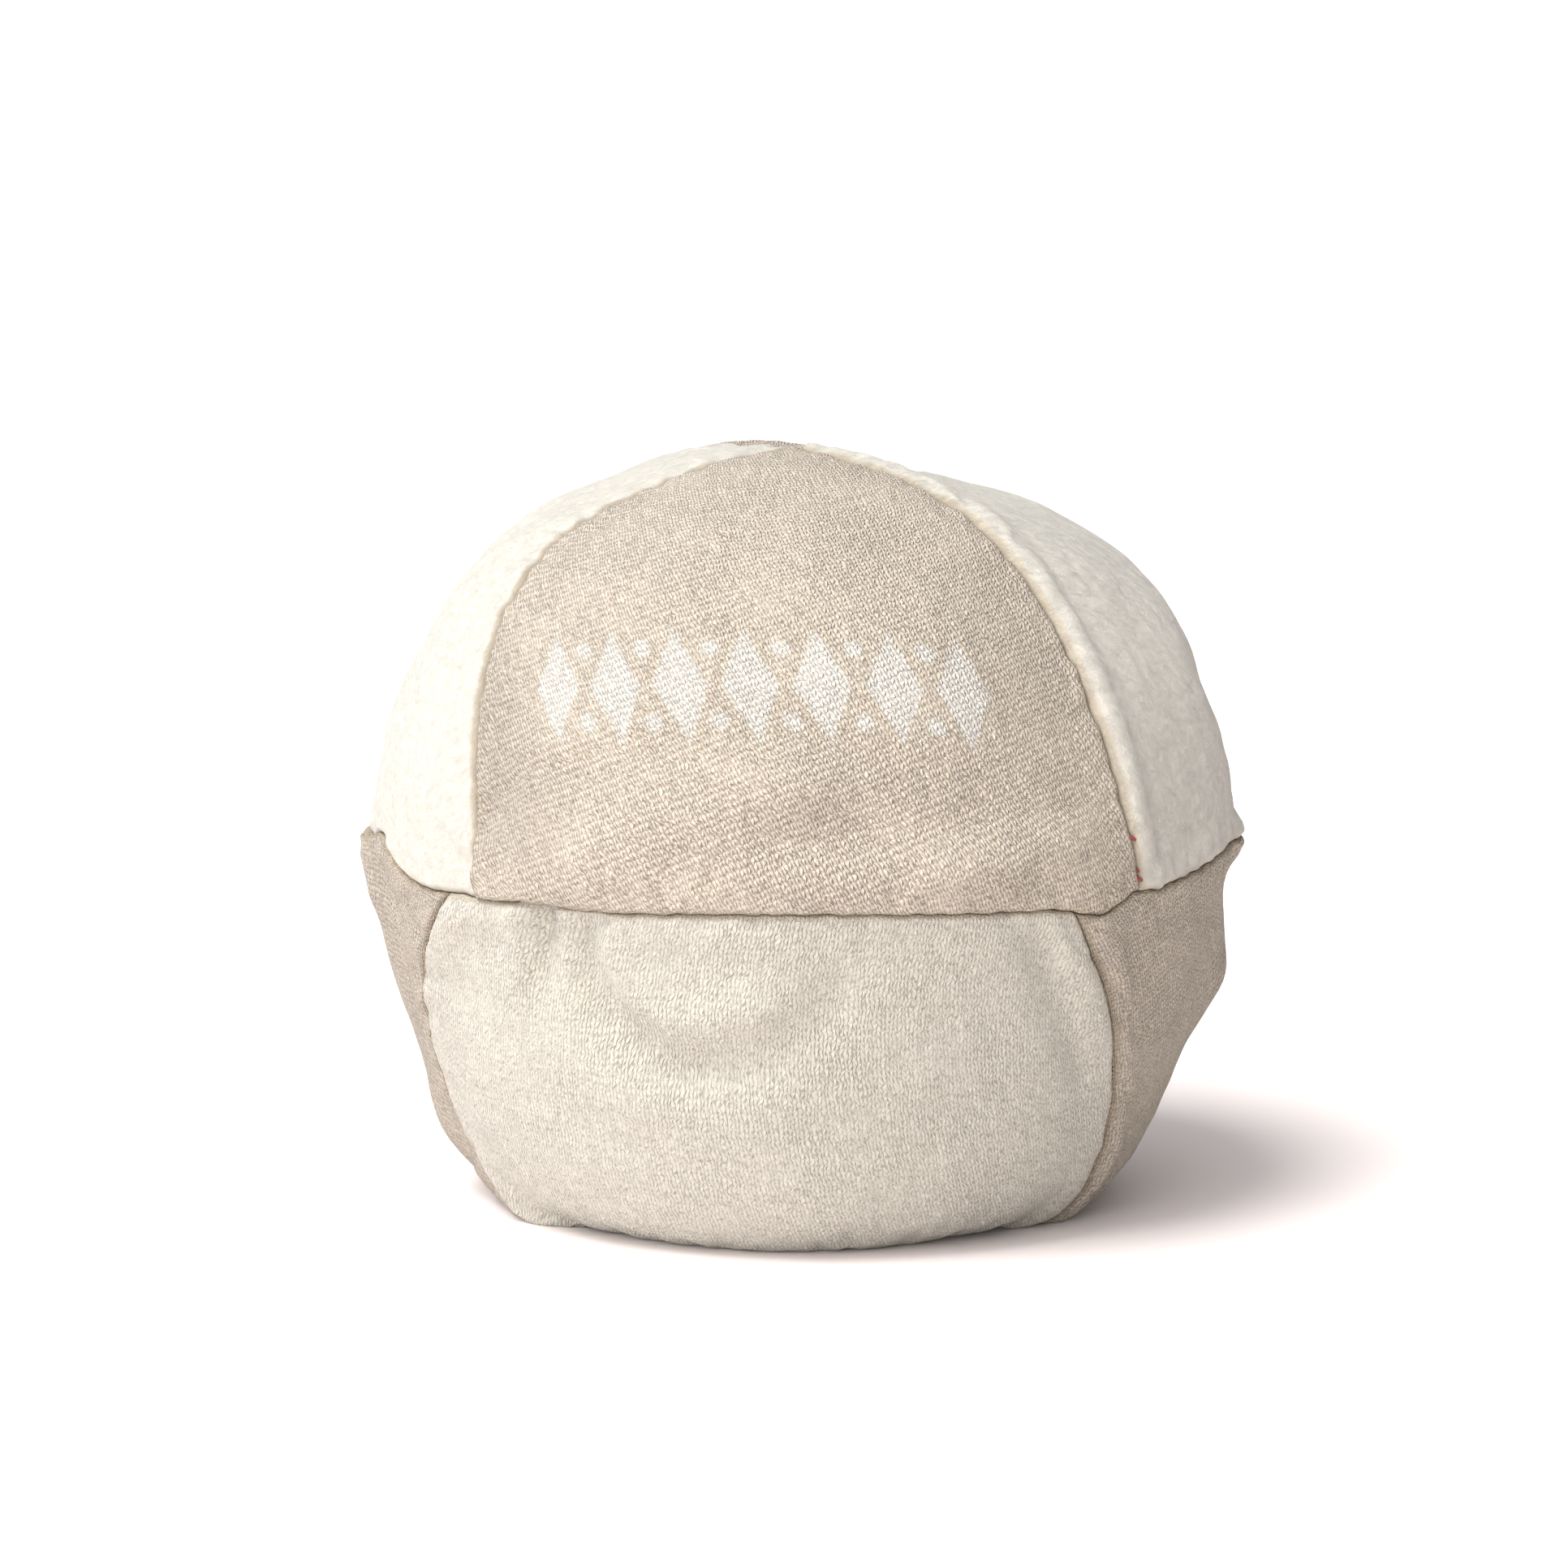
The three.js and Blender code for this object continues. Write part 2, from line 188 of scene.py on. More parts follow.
@dataclass(frozen=True)
class Seam:
    """A seam from the equator to a pole.

    `at` is where it leaves the equator, in degrees, `bow` how far it swings to the side on its
    way and `peak` where it swings most, as a share of the way.
    """

    at: float
    bow: float
    peak: float

    def longitude(self, rise: Array) -> Array:
        """Where the seam is on its way to the pole.

        Args:
            rise: shares of the way.

        Returns:
            The seam's longitude in radians at each.
        """
        share = np.clip(rise, 0, 1)
        early = max(1.0, self.peak / (1 - self.peak))
        late = max(1.0, (1 - self.peak) / self.peak)
        hump = (share / self.peak) ** early * ((1 - share) / (1 - self.peak)) ** late
        return np.radians(self.at + self.bow * hump + WOBBLE.at(share, self.at % 360))


@dataclass(frozen=True)
class Half:
    """One half of the ball, on one side of the equator seam.

    `tip_radius` is where the panels come to a point, `level_reach` how far from the equator seam
    the way out turns from level to square, and `step` how far apart slopes are measured.
    """

    size: BallSize
    seams: tuple[Seam, ...]
    tip_radius: float = 0.3
    level_reach: float = 4.0
    step: float = 1e-3
    sign: ClassVar[float] = 1.0

    def point(self, lon: Array, rise: Array) -> Array:
        """The plain surface at a longitude and a share of the way to the pole."""
        raise NotImplementedError

    def rise_over(self, distance: Array) -> Array:
        """The rise that lies a distance from the equator seam."""
        raise NotImplementedError

    def rise_at_tip(self) -> float:
        """The rise at which a panel's point stops."""
        raise NotImplementedError

    def swell(self, rise: Array) -> Array:
        """How far a panel's middle stands out at a rise."""
        raise NotImplementedError

    def outward(self, lon: Array, rise: Array) -> Array:
        """The way out of the ball, level along the equator seam.

        Args:
            lon: longitudes in radians.
            rise: shares of the way to the pole.

        Returns:
            A unit vector for each place.
        """
        along = self.point(lon + self.step, rise) - self.point(lon - self.step, rise)
        top = self.point(lon, np.minimum(rise + self.step, 1))
        normal = unit(np.cross(along, top - self.point(lon, np.maximum(rise - self.step, 0))))
        level = unit(self.point(lon, np.zeros_like(rise)) * [1, 1, 0])
        share = smooth(0, self.rise_over(self.level_reach), rise)[..., None]
        return unit(level * (1 - share) + self.sign * normal * share)

    def stretch(self, seam: Seam, rise: Array) -> Array:
        """How much longer a slanted seam is than the straight way up beside it.

        Args:
            seam: the seam.
            rise: shares of the way to the pole.

        Returns:
            The factor at each.
        """
        low, high = np.maximum(rise - self.step, 0), np.minimum(rise + self.step, 1)
        slanted = self.point(seam.longitude(high), high) - self.point(seam.longitude(low), low)
        lon = seam.longitude(rise)
        straight = self.point(lon, high) - self.point(lon, low)
        return np.linalg.norm(slanted, axis=-1) / np.linalg.norm(straight, axis=-1)

    def rise_at(self, height: float, foot: float) -> float:
        """The rise at a height, where the equator seam is at the height `foot`."""
        raise NotImplementedError

    def spot(self, lon: float, height: float) -> Array:
        """The surface point at a longitude in degrees and a height in millimetres."""
        turn = np.array(math.radians(lon))
        return self.point(turn, np.array(self.rise_at(height, self.size.equator_height(turn))))


class TopHalf(Half):
    """The crown, a superellipse."""

    def point(self, lon: Array, rise: Array) -> Array:
        """The plain surface of the crown.

        Args:
            lon: longitudes in radians.
            rise: shares of the way to the pole.

        Returns:
            A point for each, in millimetres.
        """
        turn = np.clip(rise, 0, 1) * math.pi / 2
        radius = self.size.radius * np.cos(turn) ** (2 / self.size.crown_power)
        foot = self.size.equator_height(lon)
        height = foot + (self.size.height - foot) * np.sin(turn) ** (2 / self.size.crown_power)
        return self.size.place(lon, radius, height)

    def rise_over(self, distance: Array) -> Array:
        """The rise that lies a distance from the equator seam."""
        share = np.asarray(distance) / (self.size.height - self.size.equator)
        return np.arcsin(share ** (self.size.crown_power / 2)) / (math.pi / 2)

    def rise_at_tip(self) -> float:
        """The rise at which a panel's point stops."""
        share = self.tip_radius / self.size.radius
        return math.acos(share ** (self.size.crown_power / 2)) / (math.pi / 2)

    def swell(self, rise: Array) -> Array:
        """How far a panel's middle stands out at a rise."""
        return self.size.bulge * np.sin(math.pi * rise)

    def rise_at(self, height: float, foot: float) -> float:
        """The rise at a height, where the equator seam is at the height `foot`."""
        share = np.clip((height - foot) / (self.size.height - foot), 0, 1)
        return math.asin(share ** (self.size.crown_power / 2)) / (math.pi / 2)


class BottomHalf(Half):
    """A wall that draws in to a flat base."""

    sign: ClassVar[float] = -1.0

    def point(self, lon: Array, rise: Array) -> Array:
        """The plain surface of the wall and the base.

        Args:
            lon: longitudes in radians.
            rise: shares of the way to the middle of the base.

        Returns:
            A point for each, in millimetres.
        """
        left = np.clip(1 - rise / self.size.wall_share, 0, 1)
        wall = self.size.base_radius + (self.size.radius - self.size.base_radius) * left
        flat = self.size.base_radius * (1 - rise) / (1 - self.size.wall_share)
        radius = np.where(rise < self.size.wall_share, wall, flat)
        return self.size.place(lon, radius, self.size.equator_height(lon) * left**2)

    def rise_over(self, distance: Array) -> Array:
        """The rise that lies a distance from the equator seam."""
        return self.size.wall_share * (1 - np.sqrt(1 - np.asarray(distance) / self.size.equator))

    def rise_at_tip(self) -> float:
        """The rise at which a panel's point stops."""
        return 1 - (1 - self.size.wall_share) * self.tip_radius / self.size.base_radius

    def swell(self, rise: Array) -> Array:
        """How far a panel's middle stands out at a rise."""
        share = np.clip(rise / self.size.wall_share, 0, 1)
        return self.size.bulge * np.sin(math.pi * share)

    def rise_at(self, height: float, foot: float) -> float:
        """The rise at a height, where the equator seam is at the height `foot`."""
        return self.size.wall_share * (1 - math.sqrt(min(height / foot, 1)))


@dataclass(frozen=True)
class Fold:
    """A soft ridge or hollow in the cloth.

    `path` is a row of places, each a longitude in degrees and a height in millimetres, `lift` how
    far the cloth stands out there (hollows are negative), and `width` how far it reaches to each
    side. With `panels` it is only in those panels, and `fade` is the distance over which it dies
    away towards their seams. `fall` is the share of the lift that is lost by the path's end.
    """

    path: tuple[tuple[float, float], ...]
    lift: float
    width: float
    panels: tuple[str, ...] = ()
    fade: float = 0.0
    fall: float = 0.0

    def raise_by(self, half: Half, points: Array) -> Array:
        """How far this fold lifts the cloth.

        Args:
            half: the half of the ball that the fold is in.
            points: points of its plain surface.

        Returns:
            The lift of each, in millimetres.
        """
        spots = [half.spot(*place) for place in self.path]
        legs = list(zip(spots[:-1] or spots, spots[1:] or spots))
        nearest = np.full(points.shape[:-1], np.inf)
        along = np.zeros(points.shape[:-1])
        for number, (start, end) in enumerate(legs):
            run = end - start
            share = np.clip(((points - start) @ run) / max(run @ run, 1e-9), 0, 1)
            away = np.linalg.norm(points - start - share[..., None] * run, axis=-1)
            along = np.where(away < nearest, (number + share) / len(legs), along)
            nearest = np.minimum(nearest, away)
        return self.lift * (1 - self.fall * along) * np.exp(-((nearest / self.width) ** 2))


class Edge(Enum):
    """The seams that a panel ends at."""

    LEFT = "left"
    RIGHT = "right"
    EQUATOR = "equator"


@dataclass(frozen=True)
class Welt:
    """Cloth that stands up beside a seam, over the allowance that lies under it."""

    edge: Edge
    lift: float
    off: float
    width: float

    def raise_by(self, room: dict[Edge, Array]) -> Array:
        """How far the cloth is lifted at a distance from each seam."""
        away = (room[self.edge] - self.off) / self.width
        return self.lift * np.exp(-(away**2))


@dataclass(frozen=True)
class Lumps:
    """Small unevenness of the whole cover, from the seeds that press on the cloth.

    Each of `sizes` is a wave length and a height, made of `waves` waves. The `pucker` is the same
    for the pull of the stitches, and is felt about `pucker_reach` from a seam.
    """

    sizes: tuple[tuple[float, float], ...] = ((17.0, 0.22), (8.0, 0.1), (3.6, 0.035))
    waves: int = 9
    pucker: tuple[float, float] = (1.9, 0.11)
    pucker_reach: float = 1.6

    def raise_by(self, points: Array) -> Array:
        """How far each point is lifted: for each size, a sum of waves in chance directions."""
        return self._sum(points, self.sizes, CHANCE)

    def pucker_by(self, points: Array, nearest: Array) -> Array:
        """How far each point is lifted by the pull of the stitches, close to a seam."""
        share = np.exp(-((nearest / self.pucker_reach) ** 2))
        return self._sum(points, (self.pucker,), CHANCE + 2) * share

    def _sum(self, points: Array, sizes: tuple[tuple[float, float], ...], seed: int) -> Array:
        """A sum of waves in chance directions.

        Args:
            points: where it is read.
            sizes: wave lengths, each with its height.
            seed: starts the draws.

        Returns:
            The sum at each point, in millimetres.
        """
        chance = np.random.default_rng(seed)
        lift = np.zeros(points.shape[:-1])
        for size, high in sizes:
            ways = unit(chance.normal(size=(self.waves, 3)))
            starts = chance.uniform(0, 2 * math.pi, self.waves)
            each = high / math.sqrt(self.waves)
            for way, start in zip(ways, starts):
                lift += each * np.sin(points @ way * 2 * math.pi / size + start)
        return lift


LUMPS = Lumps()


# ---------------------------------------------------------------- shader wiring


class Wiring:
    """Short calls for placing and linking the nodes of one tree."""

    def __init__(self, tree: bpy.types.NodeTree) -> None:
        """Keeps the tree that the nodes go in."""
        self.tree = tree

    def node(self, kind: str, **settings: object) -> Node:
        """Adds a node.

        Args:
            kind: its type.
            settings: properties to set on it.

        Returns:
            The node.
        """
        made = self.tree.nodes.new(kind)
        for key, value in settings.items():
            setattr(made, key, value)
        return made

    def put(self, value: object, socket: Socket) -> None:
        """Links or sets an input.

        Args:
            value: a socket to link, or a number, vector or colour to set.
            socket: the input.
        """
        if isinstance(value, Socket):
            self.tree.links.new(value, socket)
        else:
            socket.default_value = value

    def math(self, operation: str, *values: object, clamp: bool = False) -> Socket:
        """Adds a Math node.

        Args:
            operation: what it does.
            values: numbers or sockets for its inputs.
            clamp: keeps the result between 0 and 1.

        Returns:
            Its result.
        """
        made = self.node("ShaderNodeMath", operation=operation, use_clamp=clamp)
        for value, socket in zip(values, made.inputs):
            self.put(value, socket)
        return made.outputs[0]

    def vector(self, operation: str, *values: object) -> Socket:
        """Adds a Vector Math node.

        Args:
            operation: what it does.
            values: vectors or sockets for its inputs, or a number as the scale.

        Returns:
            Its result.
        """
        made = self.node("ShaderNodeVectorMath", operation=operation)
        sockets = [made.inputs["Scale"]] if operation == "SCALE" else made.inputs[1:]
        self.put(values[0], made.inputs[0])
        for value, socket in zip(values[1:], sockets):
            self.put(value, socket)
        return made.outputs["Value" if operation == "LENGTH" else "Vector"]

    def step(self, value: object, low: object, high: object) -> Socket:
        """Adds a node that rises smoothly from 0 to 1.

        Args:
            value: what it follows.
            low: where it is 0.
            high: where it is 1.

        Returns:
            Its result.
        """
        made = self.node("ShaderNodeMapRange", interpolation_type="SMOOTHSTEP")
        for item, name in zip((value, low, high), ("Value", "From Min", "From Max")):
            self.put(item, made.inputs[name])
        return made.outputs["Result"]

    def mix(self, share: object, first: object, second: object) -> Socket:
        """A colour between two colours."""
        return self._mixed("RGBA", "Color", (share, first, second))

    def blend(self, share: object, first: object, second: object) -> Socket:
        """A number between two numbers."""
        return self._mixed("FLOAT", "Float", (share, first, second))

    def _mixed(self, kind: str, ending: str, values: tuple[object, ...]) -> Socket:
        """Adds a Mix node.

        Args:
            kind: its data type.
            ending: how the names of its sockets of that type end.
            values: the share, the first and the second value.

        Returns:
            Its result.
        """
        made = self.node("ShaderNodeMix", data_type=kind)
        for value, name in zip(values, ("Factor_Float", f"A_{ending}", f"B_{ending}")):
            self.put(value, next(s for s in made.inputs if s.identifier == name))
        return next(s for s in made.outputs if s.identifier == f"Result_{ending}")

    def noise(self, vector: object, scale: object, detail: float = 2.0, rough: float = 0.5) -> Node:
        """Adds a Noise Texture node.

        Args:
            vector: where it is read.
            scale: how fine it is.
            detail: its detail.
            rough: its roughness.

        Returns:
            The node.
        """
        made = self.node("ShaderNodeTexNoise")
        values = {"Vector": vector, "Scale": scale, "Detail": detail, "Roughness": rough}
        for name, value in values.items():
            self.put(value, made.inputs[name])
        return made

    def drift(self, noise: Node, reach: object) -> Socket:
        """The offset, up to half of `reach` each way, that a noise's colour stands for."""
        centred = self.vector("SUBTRACT", noise.outputs["Color"], (0.5, 0.5, 0.5))
        return self.vector("SCALE", centred, reach)

    def split(self, vector: object) -> Node:
        """Adds a node that takes a vector apart."""
        made = self.node("ShaderNodeSeparateXYZ")
        self.put(vector, made.inputs[0])
        return made

    def flat(self, x: object, y: object) -> Socket:
        """A vector from its X and Y."""
        made = self.node("ShaderNodeCombineXYZ")
        self.put(x, made.inputs["X"])
        self.put(y, made.inputs["Y"])
        return made.outputs[0]

    def turned(self, vector: object, angle: float) -> Socket:
        """A vector turned round Z, by radians."""
        made = self.node("ShaderNodeVectorRotate", rotation_type="Z_AXIS")
        self.put(vector, made.inputs["Vector"])
        made.inputs["Angle"].default_value = angle
        return made.outputs[0]

    def bump(self, height: Socket, distance: float, normal: Socket) -> None:
        """Roughens a surface.

        Args:
            height: the relief, from 0 to 1.
            distance: how high 1 is, in metres.
            normal: the shader's input that takes it.
        """
        made = self.node("ShaderNodeBump")
        made.inputs["Distance"].default_value = distance
        self.put(height, made.inputs["Height"])
        self.put(made.outputs["Normal"], normal)


@dataclass(frozen=True)
class Input:
    """An input of a shader node group."""

    name: str
    default: float | None = None


class NodeGroup:
    """A shader effect that several materials share, built once."""

    name = ""
    inputs: tuple[Input, ...] = ()
    outputs: tuple[str, ...] = ()

    def wire(self, wiring: Wiring, given: dict[str, Socket]) -> dict[str, object]:
        """Builds the effect and returns what goes to each output."""
        raise NotImplementedError

    def tree(self) -> bpy.types.NodeTree:
        """Makes the group's node tree on first use.

        Returns:
            The tree.
        """
        if self.name in bpy.data.node_groups:
            return bpy.data.node_groups[self.name]
        made = bpy.data.node_groups.new(self.name, "ShaderNodeTree")
        for item in self.inputs:
            kind = "NodeSocketVector" if item.default is None else "NodeSocketFloat"
            socket = made.interface.new_socket(item.name, in_out="INPUT", socket_type=kind)
            if item.default is not None:
                socket.default_value = item.default
        for name in self.outputs:
            made.interface.new_socket(name, in_out="OUTPUT", socket_type="NodeSocketFloat")
        wiring = Wiring(made)
        entry, leave = wiring.node("NodeGroupInput"), wiring.node("NodeGroupOutput")
        results = self.wire(wiring, {item.name: entry.outputs[item.name] for item in self.inputs})
        for name, socket in results.items():
            wiring.put(socket, leave.inputs[name])
        return made

    def use(self, wiring: Wiring, **values: object) -> Node:
        """Places the group in a material.

        Args:
            wiring: the wiring of the material.
            values: a number or socket for each input.

        Returns:
            The group's node.
        """
        made = wiring.node("ShaderNodeGroup", node_tree=self.tree())
        for name, value in values.items():
            wiring.put(value, made.inputs[name.replace("_", " ").title()])
        return made


class KnitStitches(NodeGroup):
    """Rows of small V-shaped stitches with pits between them."""

    name = "Knit stitches"
    inputs = (Input("Cloth"), Input("Wale", 0.5), Input("Course", 0.42), Input("Unevenness", 0.12))
    outputs = ("Height", "Pit", "Tint")
    sway_noise = (0.9, 3.0, 0.6)
    sway_share = 4.0
    lean = 1.3
    leg_from_middle = 0.25
    leg_roundness = 0.6
    loop_swell = 0.65
    hole_depth = 0.75
    hole_slant = 0.5
    hole_spacing = 0.72
    hole_chance = 0.7
    hole_edge = 0.04
    hole_reach = (0.26, 0.18)
    hole_strength = (0.6, 0.4)

    def wire(self, wiring: Wiring, given: dict[str, Socket]) -> dict[str, object]:
        """Builds legs that lean together in columns, and rounds each stitch.

        Args:
            wiring: the wiring of the group's tree.
            given: the group's inputs.

        Returns:
            What goes to each output.
        """
        reach = wiring.math("MULTIPLY", given["Unevenness"], self.sway_share)
        sway = wiring.drift(wiring.noise(given["Cloth"], *self.sway_noise), reach)
        split = wiring.split(wiring.vector("ADD", given["Cloth"], sway))
        across = wiring.math("DIVIDE", split.outputs["X"], given["Wale"])
        side = wiring.math("ABSOLUTE", wiring.math("SUBTRACT", wiring.math("FRACT", across), 0.5))
        lean = wiring.math("MULTIPLY", side, self.lean)
        along = wiring.math("ADD", wiring.math("DIVIDE", split.outputs["Y"], given["Course"]), lean)
        swing = wiring.math("COSINE", wiring.math("MULTIPLY", along, 2 * math.pi))
        loop = wiring.math("MULTIPLY_ADD", swing, 0.5, 0.5)
        middle = self.leg_from_middle
        off = wiring.math("DIVIDE", wiring.math("SUBTRACT", side, middle), middle)
        leg = wiring.math("SUBTRACT", 1.0, wiring.math("MULTIPLY", off, off), clamp=True)
        body = wiring.math("MULTIPLY_ADD", loop, self.loop_swell, 1 - self.loop_swell)
        height = wiring.math("MULTIPLY", wiring.math("POWER", leg, self.leg_roundness), body)
        up = wiring.math("DIVIDE", split.outputs["Y"], given["Course"])
        hole = self._holes(wiring, across, up)
        left = wiring.math("MULTIPLY_ADD", hole, -self.hole_depth, 1.0)
        height = wiring.math("MULTIPLY", height, left)
        cell = wiring.flat(wiring.math("FLOOR", across), wiring.math("FLOOR", along))
        chance = wiring.node("ShaderNodeTexWhiteNoise", noise_dimensions="2D")
        wiring.put(cell, chance.inputs["Vector"])
        return {"Height": height, "Pit": hole, "Tint": chance.outputs["Value"]}

    def _holes(self, wiring: Wiring, across: Socket, up: Socket) -> Socket:
        """Builds the gaps between the stitches, each of its own size and depth, which the material
        paints dark as shade.

        Args:
            wiring: the wiring of the group's tree.
            across: the place across the cloth, in wales.
            up: the place along it, in courses.

        Returns:
            How deep in a gap each place is, from 0 to 1.
        """
        slanted = wiring.math("MULTIPLY_ADD", up, self.hole_slant, across)
        place = wiring.flat(slanted, wiring.math("MULTIPLY", up, self.hole_spacing))
        cells = wiring.node("ShaderNodeTexVoronoi", voronoi_dimensions="2D", feature="F1")
        values = {"Vector": place, "Scale": 1.0, "Randomness": self.hole_chance}
        for name, value in values.items():
            wiring.put(value, cells.inputs[name])
        chance = wiring.split(cells.outputs["Color"])
        reach = wiring.math("MULTIPLY_ADD", chance.outputs["X"], *self.hole_reach)
        inside = wiring.step(cells.outputs["Distance"], self.hole_edge, reach)
        strength = wiring.math("MULTIPLY_ADD", chance.outputs["Y"], *self.hole_strength)
        return wiring.math("MULTIPLY", wiring.math("SUBTRACT", 1.0, inside), strength)


class BrushedNap(NodeGroup):
    """Short, matted fibres that a brush has raised."""

    name = "Brushed nap"
    inputs = (Input("Cloth"), Input("Fineness", 5.0))
    outputs = ("Height", "Clump")
    drift_noise = (0.6, 2.0)
    drift_reach = 2.4
    streaks = ((0.5, 0.22), (-0.9, 0.3))  # how far each is turned and squashed
    streak_noise = (3.0, 0.7)
    streak_range = (0.35, 0.75)
    clump_noise = (1.1, 3.0, 0.6)

    def wire(self, wiring: Wiring, given: dict[str, Socket]) -> dict[str, object]:
        """Mixes fine crossing streaks with soft clumps.

        Args:
            wiring: the wiring of the group's tree.
            given: the group's inputs.

        Returns:
            What goes to each output.
        """
        drift = wiring.drift(wiring.noise(given["Cloth"], *self.drift_noise), self.drift_reach)
        cloth = wiring.vector("ADD", given["Cloth"], drift)
        layers = []
        for turn, squash in self.streaks:
            streak = wiring.vector("MULTIPLY", wiring.turned(cloth, turn), (squash, 1.0, 1.0))
            layer = wiring.noise(streak, given["Fineness"], *self.streak_noise)
            layers.append(layer.outputs["Fac"])
        height = wiring.math("MAXIMUM", *layers)
        clump = wiring.noise(given["Cloth"], *self.clump_noise).outputs["Fac"]
        return {"Height": wiring.step(height, *self.streak_range), "Clump": clump}


class LozengePrint(NodeGroup):
    """A gently arched row of lozenges with a dot between each two."""

    name = "Lozenge print"
    inputs = (
        Input("Cloth"),
        Input("Pitch", 5.2),
        Input("Tall", 4.4),
        Input("Reach", 17.6),
        Input("Arch", 0.004),
        Input("Soft", 0.32),
    )
    outputs = ("Mask",)
    ragged_noise = (2.6, 2.0, 0.7)
    ragged_reach = 0.5
    lozenge_width = 0.4
    dot_height = 0.66
    dot_radius = 0.68
    end_softness = 0.1

    def wire(self, wiring: Wiring, given: dict[str, Socket]) -> dict[str, object]:
        """Draws the row round the origin of the coordinates that it is given.

        Args:
            wiring: the wiring of the group's tree.
            given: the group's inputs.

        Returns:
            What goes to each output.
        """
        ragged = wiring.drift(wiring.noise(given["Cloth"], *self.ragged_noise), self.ragged_reach)
        split = wiring.split(wiring.vector("ADD", given["Cloth"], ragged))
        x = split.outputs["X"]
        drop = wiring.math("MULTIPLY", wiring.math("MULTIPLY", x, x), given["Arch"])
        y = wiring.math("ABSOLUTE", wiring.math("ADD", split.outputs["Y"], drop))
        cell = wiring.math("ADD", wiring.math("DIVIDE", x, given["Pitch"]), 0.5)
        middle = wiring.math("SUBTRACT", wiring.math("FRACT", cell), 0.5)
        side = wiring.math("ABSOLUTE", wiring.math("MULTIPLY", middle, given["Pitch"]))
        width = wiring.math("MULTIPLY", given["Pitch"], self.lozenge_width)
        slope = wiring.math("DIVIDE", given["Tall"], width)
        edge = wiring.math("SUBTRACT", given["Tall"], wiring.math("MULTIPLY_ADD", side, slope, y))
        outside = wiring.math("MULTIPLY", given["Soft"], -1.0)
        lozenge = wiring.step(wiring.math("DIVIDE", edge, slope), outside, given["Soft"])
        half = wiring.math("MULTIPLY", given["Pitch"], 0.5)
        gap = wiring.math("SUBTRACT", half, side)
        up = wiring.math("SUBTRACT", y, wiring.math("MULTIPLY", given["Tall"], self.dot_height))
        far = wiring.vector("LENGTH", wiring.flat(gap, up))
        dot = wiring.step(wiring.math("SUBTRACT", self.dot_radius, far), outside, given["Soft"])
        row = wiring.math("MAXIMUM", lozenge, dot)
        end = wiring.math("SUBTRACT", given["Reach"], wiring.math("ABSOLUTE", x))
        within = wiring.step(end, -self.end_softness, self.end_softness)
        return {"Mask": wiring.math("MULTIPLY", row, within)}


# ---------------------------------------------------------------- finishes


def plain_material(name: str, colour: Colour, roughness: float) -> tuple[Material, Wiring, Node]:
    """Starts a material from one Principled BSDF.

    Args:
        name: the material's name.
        colour: its base colour, linear.
        roughness: its roughness.

    Returns:
        The material, the wiring of its node tree, and its shader.
    """
    made = bpy.data.materials.new(name)
    made.use_nodes = True
    made.diffuse_color = (*colour, 1)
    shader = made.node_tree.nodes["Principled BSDF"]
    shader.inputs["Base Color"].default_value = (*colour, 1)
    shader.inputs["Roughness"].default_value = roughness
    return made, Wiring(made.node_tree), shader


